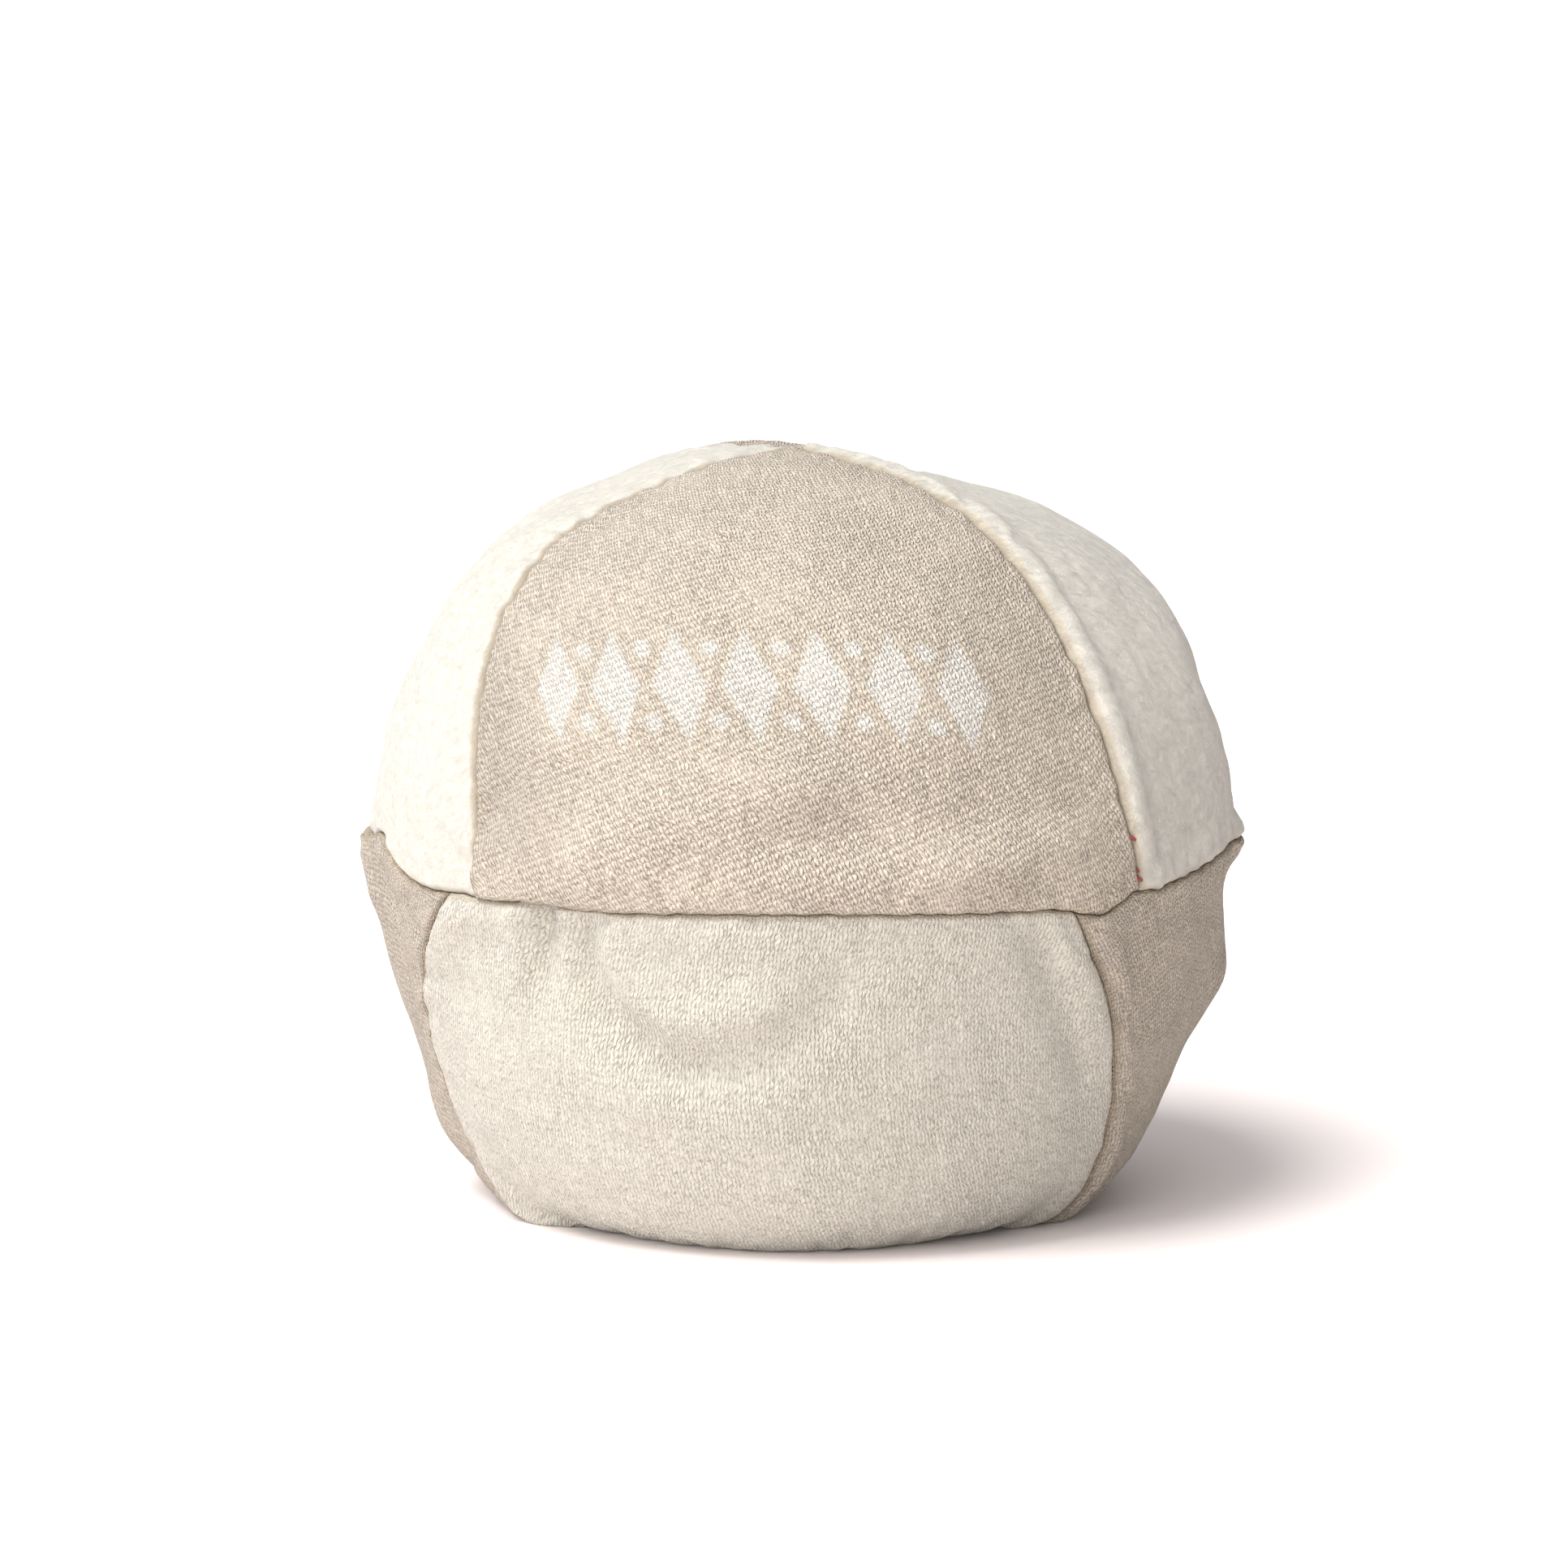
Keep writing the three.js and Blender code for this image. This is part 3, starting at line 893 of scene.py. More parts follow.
@dataclass(frozen=True)
class KnitFinish:
    """Weft knit cloth, from bare stitches to brushed fleece."""

    name: str
    yarn: Colour
    # Painted shade: the colour of the pits and low relief between the stitches.
    shade: Colour
    nap: float
    relief: float
    wale: float = 0.52
    course: float = 0.44
    unevenness: float = 0.13
    fineness: float = 4.5
    sheen: float = 0.25
    patches: float = 0.4
    low: float = 0.0
    high: float = 0.55
    pit: float = 1.0
    printed: Colour | None = None
    print_centre: tuple[float, float] = (0.0, 0.0)
    grain: float = 0.0
    # Painted shade spots: each a place, a reach and how much darker, in the cloth's millimetres.
    painted_spot_shade: tuple[tuple[float, float, float, float], ...] = ()
    broad_noise: tuple[float, ...] = (0.14, 3.0, 0.55)
    clump_share: float = 0.45
    patch_range: tuple[float, float] = (0.38, 0.62)
    stitch_tint: tuple[float, float] = (0.09, 0.955)
    broad_tint: tuple[float, float] = (0.14, 0.93)
    painted_spot_shade_core: float = 0.2
    ink_light: tuple[float, float] = (0.2, 0.82)
    ink_share: float = 0.93
    # Painted shade: a brown-tinted dark colour mixed in within about 0.6 mm of each seam, in the
    # crevice there.
    painted_seam_shade: Colour = (0.33, 0.24, 0.13)
    painted_seam_shade_range: tuple[float, float] = (0.05, 0.6)
    painted_seam_shade_share: float = 0.45

    def build(self) -> Material:
        """Makes the material.

        Returns:
            The material, which reads the cloth's map, and its distance from the seams for the
            painted seam shade.
        """
        made, wiring, shader = plain_material(self.name, self.yarn, 0.95)
        shader.inputs["Sheen Weight"].default_value = self.sheen
        shader.inputs["Sheen Roughness"].default_value = 0.6
        shader.inputs["Specular IOR Level"].default_value = 0.15
        uv = wiring.node("ShaderNodeUVMap", uv_map=CLOTH_MAP).outputs["UV"]
        cloth = wiring.vector("SCALE", uv, UV_UNIT)
        level = wiring.turned(cloth, math.radians(self.grain))
        broad = wiring.noise(cloth, *self.broad_noise).outputs["Fac"]
        height, lit, chance = self._surface(wiring, cloth, broad)
        # Painted shade: the pits and low relief between the stitches take the dark shade colour,
        # the stitch tops the yarn colour.
        colour = wiring.mix(lit, (*self.shade, 1), (*self.yarn, 1))
        tint = wiring.math("MULTIPLY_ADD", chance, *self.stitch_tint)
        tint = wiring.math("MULTIPLY", tint, wiring.math("MULTIPLY_ADD", broad, *self.broad_tint))
        colour = wiring.vector("SCALE", colour, self._painted_spot_shade(wiring, level, tint))
        if self.printed:
            colour = self._print(wiring, level, lit, colour)
        # Painted shade in the seam crevices: the colour darkens towards a brown tint close to each
        # seam.
        seam = wiring.node("ShaderNodeAttribute", attribute_name=SEAM_ATTRIBUTE).outputs["Fac"]
        painted_seam_shade = wiring.math("SUBTRACT", 1.0, wiring.step(seam, *self.painted_seam_shade_range))
        share = wiring.math("MULTIPLY", painted_seam_shade, self.painted_seam_shade_share)
        wiring.put(wiring.mix(share, colour, (*self.painted_seam_shade, 1)), shader.inputs["Base Color"])
        wiring.bump(height, self.relief * MM, shader.inputs["Normal"])
        return made

    def _surface(self, wiring: Wiring, cloth: Socket, broad: Socket) -> tuple[Socket, ...]:
        """Lays the nap over the stitches in patches.

        Args:
            wiring: the wiring of the material.
            cloth: the place on the cloth, in millimetres.
            broad: slow unevenness, from 0 to 1.

        Returns:
            The relief, how light it is painted there, with painted shade in the pits and low
            relief, and a chance number for each stitch.
        """
        stitches = KnitStitches().use(
            wiring, cloth=cloth, wale=self.wale, course=self.course, unevenness=self.unevenness
        )
        nap = BrushedNap().use(wiring, cloth=cloth, fineness=self.fineness)
        fine = wiring.math("MULTIPLY", nap.outputs["Clump"], self.clump_share)
        clump = wiring.math("MULTIPLY_ADD", broad, 1 - self.clump_share, fine)
        patchy = wiring.step(clump, *self.patch_range)
        least = self.nap - self.patches / 2
        cover = wiring.math("MULTIPLY_ADD", patchy, self.patches, least, clamp=True)
        height = wiring.blend(cover, stitches.outputs["Height"], nap.outputs["Height"])
        bare = wiring.math("MULTIPLY_ADD", cover, -self.pit, self.pit)
        pit = wiring.math("MULTIPLY", stitches.outputs["Pit"], bare)
        # Painted shade in the low relief and the pits between the stitches.
        lit = wiring.step(height, self.low, self.high)
        lit = wiring.math("MULTIPLY", lit, wiring.math("SUBTRACT", 1.0, pit))
        return height, lit, stitches.outputs["Tint"]

    def _painted_spot_shade(self, wiring: Wiring, level: Socket, tint: Socket) -> Socket:
        """Darkens the listed spots with painted shade.

        Args:
            wiring: the wiring of the material.
            level: the place on the cloth, with the grain turned level.
            tint: how light the cloth is before the painted shade.

        Returns:
            How light it is with the painted shade.
        """
        for x, y, reach, amount in self.painted_spot_shade:
            away = wiring.vector("LENGTH", wiring.vector("SUBTRACT", level, (x, y, 0.0)))
            outside = wiring.step(away, reach * self.painted_spot_shade_core, reach)
            painted_spot_shade = wiring.math("SUBTRACT", 1.0, outside)
            tint = wiring.math("MULTIPLY", tint, wiring.math("MULTIPLY_ADD", painted_spot_shade, -amount, 1.0))
        return tint

    def _print(self, wiring: Wiring, level: Socket, lit: Socket, colour: Socket) -> Socket:
        """Prints the row of lozenges on the cloth.

        Args:
            wiring: the wiring of the material.
            level: the place on the cloth, with the grain turned level.
            lit: how light the relief is.
            colour: the bare cloth's colour.

        Returns:
            The colour with the print on it.
        """
        moved = wiring.vector("SUBTRACT", level, (*self.print_centre, 0.0))
        mask = LozengePrint().use(wiring, cloth=moved).outputs["Mask"]
        # Painted shade on the ink as well: darker in the pits and low relief.
        light = wiring.math("MULTIPLY_ADD", lit, *self.ink_light)
        inked = wiring.vector("SCALE", self.printed, light)
        return wiring.mix(wiring.math("MULTIPLY", mask, self.ink_share), colour, inked)


@dataclass(frozen=True)
class ThreadFinish:
    """Spun two-ply sewing thread."""

    name: str
    colour: Colour
    dark: Colour
    fibre_noise: tuple[float, ...] = (9000.0, 3.0, 0.7)
    relief: float = 0.04

    def build(self) -> Material:
        """Makes the material.

        Returns:
            The material, with fine fibres along the thread.
        """
        made, wiring, shader = plain_material(self.name, self.colour, 0.62)
        shader.inputs["Sheen Weight"].default_value = 0.2
        place = wiring.node("ShaderNodeTexCoord").outputs["Object"]
        fibre = wiring.noise(place, *self.fibre_noise).outputs["Fac"]
        colour = wiring.mix(fibre, (*self.dark, 1), (*self.colour, 1))
        wiring.put(colour, shader.inputs["Base Color"])
        wiring.bump(fibre, self.relief * MM, shader.inputs["Normal"])
        return made


@dataclass(frozen=True)
class SeedFinish:
    """Hulled millet: a pale yellow husk with darker and lighter seeds among it."""

    name: str
    colour: Colour
    dark: Colour
    patch_noise: tuple[float, ...] = (420.0, 2.0)
    husk_noise: tuple[float, ...] = (2600.0, 3.0, 0.6)
    husk_share: float = 0.4
    light_range: tuple[float, float] = (0.5, 0.9)
    relief: float = 0.06

    def build(self) -> Material:
        """Makes the material.

        Returns:
            The material, which changes from seed to seed.
        """
        made, wiring, shader = plain_material(self.name, self.colour, 0.5)
        place = wiring.node("ShaderNodeTexCoord").outputs["Object"]
        patch = wiring.noise(place, *self.patch_noise).outputs["Fac"]
        husk = wiring.noise(place, *self.husk_noise).outputs["Fac"]
        both = wiring.math("MULTIPLY_ADD", husk, self.husk_share, patch)
        share = wiring.step(both, *self.light_range)
        colour = wiring.mix(share, (*self.dark, 1), (*self.colour, 1))
        wiring.put(colour, shader.inputs["Base Color"])
        wiring.bump(husk, self.relief * MM, shader.inputs["Normal"])
        return made


# ---------------------------------------------------------------- mesh helpers


def deselect() -> None:
    """Leaves object mode with nothing selected."""
    if bpy.context.object and bpy.context.object.mode != "OBJECT":
        bpy.ops.object.mode_set(mode="OBJECT")
    bpy.ops.object.select_all(action="DESELECT")


def activate(piece: Piece) -> None:
    """Selects one piece alone and makes it active.

    Args:
        piece: the piece.
    """
    deselect()
    piece.select_set(True)
    bpy.context.view_layer.objects.active = piece


@contextmanager
def editing() -> Iterator[None]:
    """Edit mode on the active piece with all of it selected, for as long as it is needed."""
    bpy.ops.object.mode_set(mode="EDIT")
    bpy.ops.mesh.select_all(action="SELECT")
    yield
    bpy.ops.object.mode_set(mode="OBJECT")


def place_in_scene(name: str, data: bpy.types.ID) -> Piece:
    """Makes an object.

    Args:
        name: its name.
        data: its mesh, curve, light or camera.

    Returns:
        The object, in the scene.
    """
    made = bpy.data.objects.new(name, data)
    bpy.context.scene.collection.objects.link(made)
    return made


def mesh_piece(name: str, points: Array, faces: Array) -> Piece:
    """Makes an object from points and faces that all have as many corners.

    Args:
        name: the object's name.
        points: one row for each point, in millimetres.
        faces: one row of point numbers for each face.

    Returns:
        The object, in the scene, with smooth faces.
    """
    mesh = bpy.data.meshes.new(name)
    mesh.vertices.add(len(points))
    mesh.vertices.foreach_set("co", (points * MM).astype(np.float32).ravel())
    corners = faces.shape[1]
    mesh.loops.add(faces.size)
    mesh.loops.foreach_set("vertex_index", faces.astype(np.int32).ravel())
    mesh.polygons.add(len(faces))
    mesh.polygons.foreach_set("loop_start", np.arange(0, faces.size, corners, dtype=np.int32))
    mesh.polygons.foreach_set("use_smooth", np.ones(len(faces), dtype=bool))
    mesh.update(calc_edges=True)
    mesh.validate()
    return place_in_scene(name, mesh)


def grid_faces(rows: int, columns: int, first: int = 0, flip: bool = False) -> Array:
    """Quads between the points of a grid.

    Args:
        rows: how many rows of points.
        columns: how many points in a row.
        first: the number of the grid's first point.
        flip: turns the quads round.

    Returns:
        One row of four point numbers for each quad.
    """
    corner = first + (np.arange(rows - 1)[:, None] * columns + np.arange(columns - 1)).ravel()
    quads = np.stack([corner, corner + 1, corner + columns + 1, corner + columns], axis=1)
    return quads[:, ::-1] if flip else quads


def finish_piece(piece: Piece, material: Material, node: str) -> None:
    """Dresses a piece, rides it on the ball and lets it stand for its CAD node.

    Args:
        piece: the piece.
        material: what it is made of.
        node: the CAD node.
    """
    piece.data.materials.clear()
    piece.data.materials.append(material)
    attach(piece, ROOT)
    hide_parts(node)
    log.info("%s: %d faces", piece.name, len(piece.data.polygons))


def from_axis(points: Array) -> Array:
    """The distance of points from the upright axis."""
    return np.hypot(points[..., 0], points[..., 1])


# ---------------------------------------------------------------- panels


@dataclass(frozen=True)
class ClothSize:
    """The cloth's thickness and how its edges turn in at a seam, in millimetres.

    `roll` is the radius of the turned edge, `allowance` how far the cloth goes on inside, `gap`
    what stays open between two panels, and `edge_room` the half width of a panel below which its
    edges are squeezed. A panel is `drawn_in` at its seams, over `draw_reach`. Chance lumps and
    puckers come in over `lump_reach` from a seam and over their heights above the table.
    """

    thickness: float = 0.45
    roll: float = 0.5
    allowance: float = 4.2
    gap: float = 0.06
    edge_room: float = 1.6
    roll_steps: int = 7
    columns: int = 120
    rows: int = 112
    corner_power: float = 2.4
    drawn_in: float = 0.55
    draw_reach: float = 4.0
    lump_reach: float = 3.0
    lump_heights: tuple[float, float] = (0.5, 9.0)
    pucker_heights: tuple[float, float] = (0.5, 4.0)
    furthest: float = 10.0
    base_rise: float = 0.3
    weld: float = 1e-7


class Colourway(Enum):
    """The two cloths that alternate over the ball."""

    BEIGE = "knit_beige"
    CREAM = "knit_cream"


@dataclass
class Panel:
    """One panel of the cover, with its rolled and turned-in edges.

    `grain` is how far the stitches are turned on it, in degrees, `give` how far its cloth has
    settled, and `flat` the size in metres of the flat piece that it was cut from.
    """

    name: str
    half: Half
    left: Seam
    right: Seam
    colourway: Colourway
    grain: float
    folds: tuple[Fold, ...]
    welts: tuple[Welt, ...] = ()
    cloth: ClothSize = field(default_factory=ClothSize)
    give: Array | None = None
    flat: tuple[float, float] = (0.0, 0.0)

    def _profile(self, inner: bool) -> tuple[Array, Array]:
        """The outline of an edge, from its cut end inwards.

        Args:
            inner: the face towards the fill.

        Returns:
            Distance from the seam and depth of each station.
        """
        angle = np.linspace(0, math.pi / 2, self.cloth.roll_steps)
        roll, inside = self.cloth.roll, self.cloth.roll - self.cloth.thickness
        radius = inside if inner else roll
        off = np.concatenate([[0, 0], roll - radius * np.cos(angle)])
        depth = np.concatenate([[0, 0], roll - radius * np.sin(angle)])
        off[:2] = self.cloth.thickness if inner else 0
        depth[:2] = roll + self.cloth.allowance * np.array([1, 0.4])
        return off, depth

    def _rows(self, inner: bool) -> tuple[Array, Array]:
        """The rows of points, from the equator seam to the pole.

        Args:
            inner: the face towards the fill.

        Returns:
            Rise and depth of each row.
        """
        off, depth = self._profile(inner)
        floor = self.cloth.thickness if inner else 0.0
        start = float(self.half.rise_over(self.cloth.roll + self.cloth.gap / 2))
        rest = np.linspace(start, self.half.rise_at_tip(), self.cloth.rows + 1)[1:]
        rise = np.concatenate([self.half.rise_over(off + self.cloth.gap / 2), rest])
        return rise, np.concatenate([depth, np.full(len(rest), floor)])

    def _seam_turn(
        self, seam: Seam, rise: Array, radius: Array, off: Array, squeeze: Array
    ) -> Array:
        """The angle between the seam and a station that lies `off` from it."""
        return (self.cloth.gap / 2 + off * squeeze) * self.half.stretch(seam, rise) / radius

    def layer(self, inner: bool) -> tuple[Array, Array, Array]:
        """The points of one face of the cloth.

        Args:
            inner: the face towards the fill, and not the one that shows.

        Returns:
            A grid of points, their place on the flat cloth, and their distance from the nearest
            seam, all in millimetres.
        """
        cloth, half = self.cloth, self.half
        floor = cloth.thickness if inner else 0.0
        rise, row_depth = (part[:, None] for part in self._rows(inner))
        off, depth = self._profile(inner)
        left, right = self.left.longitude(rise), self.right.longitude(rise)
        middle = (left + right) / 2
        ring = half.point(middle, rise)
        radius = from_axis(ring)
        squeeze = np.minimum(1, (right - left) * radius / (2 * cloth.edge_room))
        near_left = left + self._seam_turn(self.left, rise, radius, off[None, :], squeeze)
        near_right = right - self._seam_turn(self.right, rise, radius, off[None, ::-1], squeeze)
        share = np.linspace(0, 1, cloth.columns + 2)[None, 1:-1]
        first = left + self._seam_turn(self.left, rise, radius, np.array(cloth.roll), squeeze)
        last = right - self._seam_turn(self.right, rise, radius, np.array(cloth.roll), squeeze)
        lon = np.concatenate([near_left, first + (last - first) * share, near_right], axis=1)
        edge = floor + (depth[None, :] - floor) * squeeze
        flat = np.full((len(rise), cloth.columns), floor)
        column_depth = np.concatenate([edge, flat, edge[:, ::-1]], axis=1)
        rise = np.broadcast_to(rise, lon.shape)
        deep = self._corner(column_depth - floor, row_depth - floor) + floor
        points = self._sculpt(lon, rise, (lon - left) / (right - left) * 2 - 1, deep)
        climb = np.linalg.norm(np.diff(ring[:, 0], axis=0), axis=1)
        climb = np.concatenate([[0], np.cumsum(climb)])[:, None] - row_depth + floor
        side = (lon - middle) * radius
        side = side + np.sign(side) * (column_depth - floor)
        place = np.stack([side, np.broadcast_to(climb, side.shape)], axis=-1)
        room = np.minimum(lon - left, right - lon) * radius - cloth.gap / 2
        up = np.linalg.norm(points - half.point(lon, np.zeros_like(rise)), axis=-1)
        room = np.minimum(room, up) - np.maximum(deep - floor, 0)
        return points, place, np.clip(room, 0, cloth.furthest)

    def _corner(self, first: Array, second: Array) -> Array:
        """Rounds the corner where two edges meet.

        Args:
            first: depth below the cloth that one edge gives.
            second: depth that the other gives.

        Returns:
            The depth of both: rounded over the roll, and the deeper one below it.
        """
        power, roll = self.cloth.corner_power, self.cloth.roll
        both = (np.maximum(first, 0) ** power + np.maximum(second, 0) ** power) ** (1 / power)
        deepest = np.maximum(first, second)
        return np.where(deepest >= roll, deepest, np.minimum(both, roll))

    def _room(self, plain: Array, rise: Array, lon: Array) -> dict[Edge, Array]:
        """Distance from the panel's seams.

        Args:
            plain: points of the plain surface.
            rise: the rise of each.
            lon: the longitude of each, in radians.

        Returns:
            For each seam, the distance of every point.
        """
        radius = from_axis(plain)
        left, right = self.left.longitude(rise), self.right.longitude(rise)
        up = np.linalg.norm(plain - self.half.point(lon, np.zeros_like(rise)), axis=-1)
        sides = {
            Edge.LEFT: (lon - left) * radius / self.half.stretch(self.left, rise),
            Edge.RIGHT: (right - lon) * radius / self.half.stretch(self.right, rise),
        }
        return {**sides, Edge.EQUATOR: up}

    def _sculpt(self, lon: Array, rise: Array, across: Array, depth: Array) -> Array:
        """Shapes the cloth with its swell, folds and give.

        Args:
            lon: longitudes in radians.
            rise: shares of the way to the pole.
            across: places from the left seam at -1 to the right one at 1.
            depth: how deep below the outer face.

        Returns:
            A point for each.
        """
        half, cloth = self.half, self.cloth
        plain = half.point(lon, rise)
        normal = half.outward(lon, rise)
        room = self._room(plain, rise, lon)
        nearest = np.minimum(np.minimum(room[Edge.LEFT], room[Edge.RIGHT]), room[Edge.EQUATOR])
        height = plain[..., 2]
        lift = half.swell(rise) * np.clip(1 - across**2, 0, 1)
        lift = lift - cloth.drawn_in * smooth(0, cloth.draw_reach, nearest)
        lumps = LUMPS.raise_by(plain) * smooth(0, cloth.lump_reach, nearest)
        lift = lift + lumps * smooth(*cloth.lump_heights, height)
        lift = lift + LUMPS.pucker_by(plain, nearest) * smooth(*cloth.pucker_heights, height)
        for fold in self.folds:
            if not fold.panels or self.name in fold.panels:
                raised = fold.raise_by(half, plain)
                lift = lift + (raised * smooth(0, fold.fade, nearest) if fold.fade else raised)
        for welt in self.welts:
            lift = lift + welt.raise_by(room)
        points = plain + normal * (lift - np.minimum(depth, cloth.roll))[..., None]
        points = points + self._given(across, rise)
        middle = np.array([0, 0, half.size.equator])
        points = points + unit(middle - points) * np.maximum(depth - cloth.roll, 0)[..., None]
        on_table = (rise > cloth.base_rise) & (half.sign < 0)
        points[..., 2] = np.where(on_table, np.maximum(points[..., 2], depth), points[..., 2])
        return points

    def _given(self, across: Array, rise: Array) -> Array:
        """How far the relaxed cloth has moved, read between the points of the coarse grid.

        Args:
            across: places from the left seam at -1 to the right one at 1.
            rise: shares of the way to the pole.

        Returns:
            A move for each, in millimetres.
        """
        if self.give is None:
            return np.zeros((*across.shape, 3))
        rows, columns = self.give.shape[:2]
        x = np.clip((across + 1) / 2, 0, 1) * (columns - 1)
        y = np.clip(rise / self.half.rise_at_tip(), 0, 1) * (rows - 1)
        i, j = np.minimum(y.astype(int), rows - 2), np.minimum(x.astype(int), columns - 2)
        s, t = (x - j)[..., None], (y - i)[..., None]
        s, t = smooth(0, 1, s), smooth(0, 1, t)
        low = self.give[i, j] * (1 - s) + self.give[i, j + 1] * s
        high = self.give[i + 1, j] * (1 - s) + self.give[i + 1, j + 1] * s
        return low * (1 - t) + high * t

    def edge_point(self, edge: Edge, share: Array, depth: float) -> Array:
        """Points on one of the panel's seams, `depth` below the cloth.

        Args:
            edge: the seam.
            share: rises on a side seam, or longitudes in radians on the equator.
            depth: how deep, in millimetres.

        Returns:
            A row of points.
        """
        if edge is Edge.EQUATOR:
            rise = np.zeros_like(share)
            left, right = self.left.longitude(rise), self.right.longitude(rise)
            across = (share - left) / (right - left) * 2 - 1
            return self._sculpt(share, rise, across, np.full_like(share, depth))
        seam, across = (self.left, -1.0) if edge is Edge.LEFT else (self.right, 1.0)
        sides = np.full_like(share, across)
        return self._sculpt(seam.longitude(share), share, sides, np.full_like(share, depth))

    def coarse(self, rows: int, columns: int) -> Array:
        """A plain grid from seam to seam, for the cloth simulation.

        Args:
            rows: how many rows of points.
            columns: how many points in a row.

        Returns:
            The grid of points.
        """
        rise = np.linspace(0, self.half.rise_at_tip(), rows)[:, None]
        left, right = self.left.longitude(rise), self.right.longitude(rise)
        across = np.linspace(-1, 1, columns)[None, :]
        lon = left + (right - left) * (across + 1) / 2
        rise = np.broadcast_to(rise, lon.shape)
        return self._sculpt(lon, rise, np.broadcast_to(across, lon.shape), np.zeros(lon.shape))

    def build(self) -> Piece:
        """Makes the panel.

        Returns:
            One closed body of cloth, with its map and its distance from the seams.
        """
        (outer, place, room), (inner, under, _) = self.layer(False), self.layer(True)
        sides = np.ptp(place.reshape(-1, 2), axis=0)
        self.flat = tuple(round(float(side) * MM, 4) for side in sides)
        rows, columns = outer.shape[:2]
        count = rows * columns
        flip = self.half.sign < 0
        faces = [grid_faces(rows, columns, 0, flip), grid_faces(rows, columns, count, not flip)]
        grid = np.arange(count).reshape(rows, columns)
        rim = np.concatenate([grid[0], grid[1:, -1], grid[-1, -2::-1], grid[-2:0:-1, 0]])
        ahead = np.roll(rim, -1)
        wall = np.stack([rim, rim + count, ahead + count, ahead], axis=1)
        faces.append(wall[:, ::-1] if flip else wall)
        points = np.concatenate([outer.reshape(-1, 3), inner.reshape(-1, 3)])
        piece = mesh_piece(f"{self.name}_cloth", points, np.concatenate(faces))
        self._map(piece, np.concatenate([place.reshape(-1, 2), under.reshape(-1, 2)]))
        mark = piece.data.attributes.new(SEAM_ATTRIBUTE, "FLOAT", "POINT")
        mark.data.foreach_set("value", np.tile(room.ravel(), 2).astype(np.float32))
        activate(piece)
        with editing():
            bpy.ops.mesh.remove_doubles(threshold=self.cloth.weld)
        return piece

    def _map(self, piece: Piece, place: Array) -> None:
        """Lays the flat cloth out as the piece's UV map, turned by the grain.

        Args:
            piece: the panel.
            place: the place of each of its points on the flat cloth, in millimetres.
        """
        turn = math.radians(self.grain)
        along, aside = math.cos(turn), math.sin(turn)
        turned = place @ np.array([[along, -aside], [aside, along]])
        layer = piece.data.uv_layers.new(name=CLOTH_MAP)
        corners = np.empty(len(piece.data.loops), dtype=np.int32)
        piece.data.loops.foreach_get("vertex_index", corners)
        layer.data.foreach_set("uv", (turned[corners] / UV_UNIT).astype(np.float32).ravel())

    def dress(self, piece: Piece, material: Material) -> None:
        """Args:
            piece: the panel.
            material: the cloth.
        """
        finish_piece(piece, material, self.name)


@dataclass
class RelaxedCloth:
    """Lets the cloth of all panels settle between its seams with Blender's cloth simulation.

    The simulation is run `scale` times as large. The cloth has a `spare` share of length, and
    moves by no more than `most` millimetres. What is lower than `on_table` is held.
    """

    rows: int = 44
    columns: int = 44
    frames: int = 20
    most: float = 0.75
    scale: float = 10.0
    spare: float = 0.014
    bending: float = 0.5
    tension: float = 6.0
    shear: float = 3.0
    mass: float = 0.0015
    pressure: float = 4.0
    quality: int = 5
    on_table: float = 0.3

    def settle(self, panels: list[Panel]) -> None:
        """Simulates the panels together and keeps in each how far its cloth has moved.

        Args:
            panels: the panels.
        """
        grid = (self.rows, self.columns)
        start = np.stack([panel.coarse(*grid) for panel in panels])
        each = self.rows * self.columns
        faces = [grid_faces(*grid, i * each, p.half.sign < 0) for i, p in enumerate(panels)]
        points = start.reshape(-1, 3) * self.scale
        piece = mesh_piece("cloth_to_settle", points, np.concatenate(faces))
        self._pin(piece, start)
        self._simulate(piece)
        moved = np.empty(len(piece.data.vertices) * 3, dtype=np.float32)
        piece.data.vertices.foreach_get("co", moved)
        moved = moved.reshape(start.shape) / (self.scale * MM) - start
        length = np.linalg.norm(moved, axis=-1, keepdims=True)
        moved *= np.tanh(length / self.most) * self.most / np.maximum(length, 1e-9)
        log.info("cloth settled by up to %.2f mm", float(np.linalg.norm(moved, axis=-1).max()))
        for panel, give in zip(panels, moved):
            panel.give = give
        bpy.data.objects.remove(piece)

    def _pin(self, piece: Piece, start: Array) -> None:
        """Holds the seams and what lies on the table.

        Args:
            piece: the cloth.
            start: the grids of its points.
        """
        held = np.zeros(start.shape[:-1], dtype=bool)
        held[:, [0, -1], :] = True
        held[:, :, [0, -1]] = True
        held |= start[..., 2] < self.on_table
        group = piece.vertex_groups.new(name="held")
        group.add([int(i) for i in np.flatnonzero(held.ravel())], 1.0, "REPLACE")

    def _simulate(self, piece: Piece) -> None:
        """Runs the simulation and applies it.

        Args:
            piece: the cloth.
        """
        activate(piece)
        cloth = piece.modifiers.new("settle", "CLOTH")
        settings = cloth.settings
        settings.quality = self.quality
        settings.mass = self.mass
        settings.tension_stiffness = self.tension
        settings.compression_stiffness = self.tension
        settings.shear_stiffness = self.shear
        settings.bending_stiffness = self.bending
        settings.use_pressure = True
        settings.uniform_pressure_force = self.pressure
        settings.shrink_min = -self.spare
        settings.vertex_group_mass = "held"
        settings.effector_weights.gravity = 0
        cloth.collision_settings.use_collision = False
        cloth.point_cache.frame_start = 1
        cloth.point_cache.frame_end = self.frames
        for number in range(1, self.frames + 1):
            bpy.context.scene.frame_set(number)
        bpy.ops.object.modifier_apply(modifier=cloth.name)
        bpy.context.scene.frame_set(1)


FRONT = ("top_front_panel",)
RIGHT = ("top_right_panel",)
LOW_FRONT = ("bottom_front_panel",)

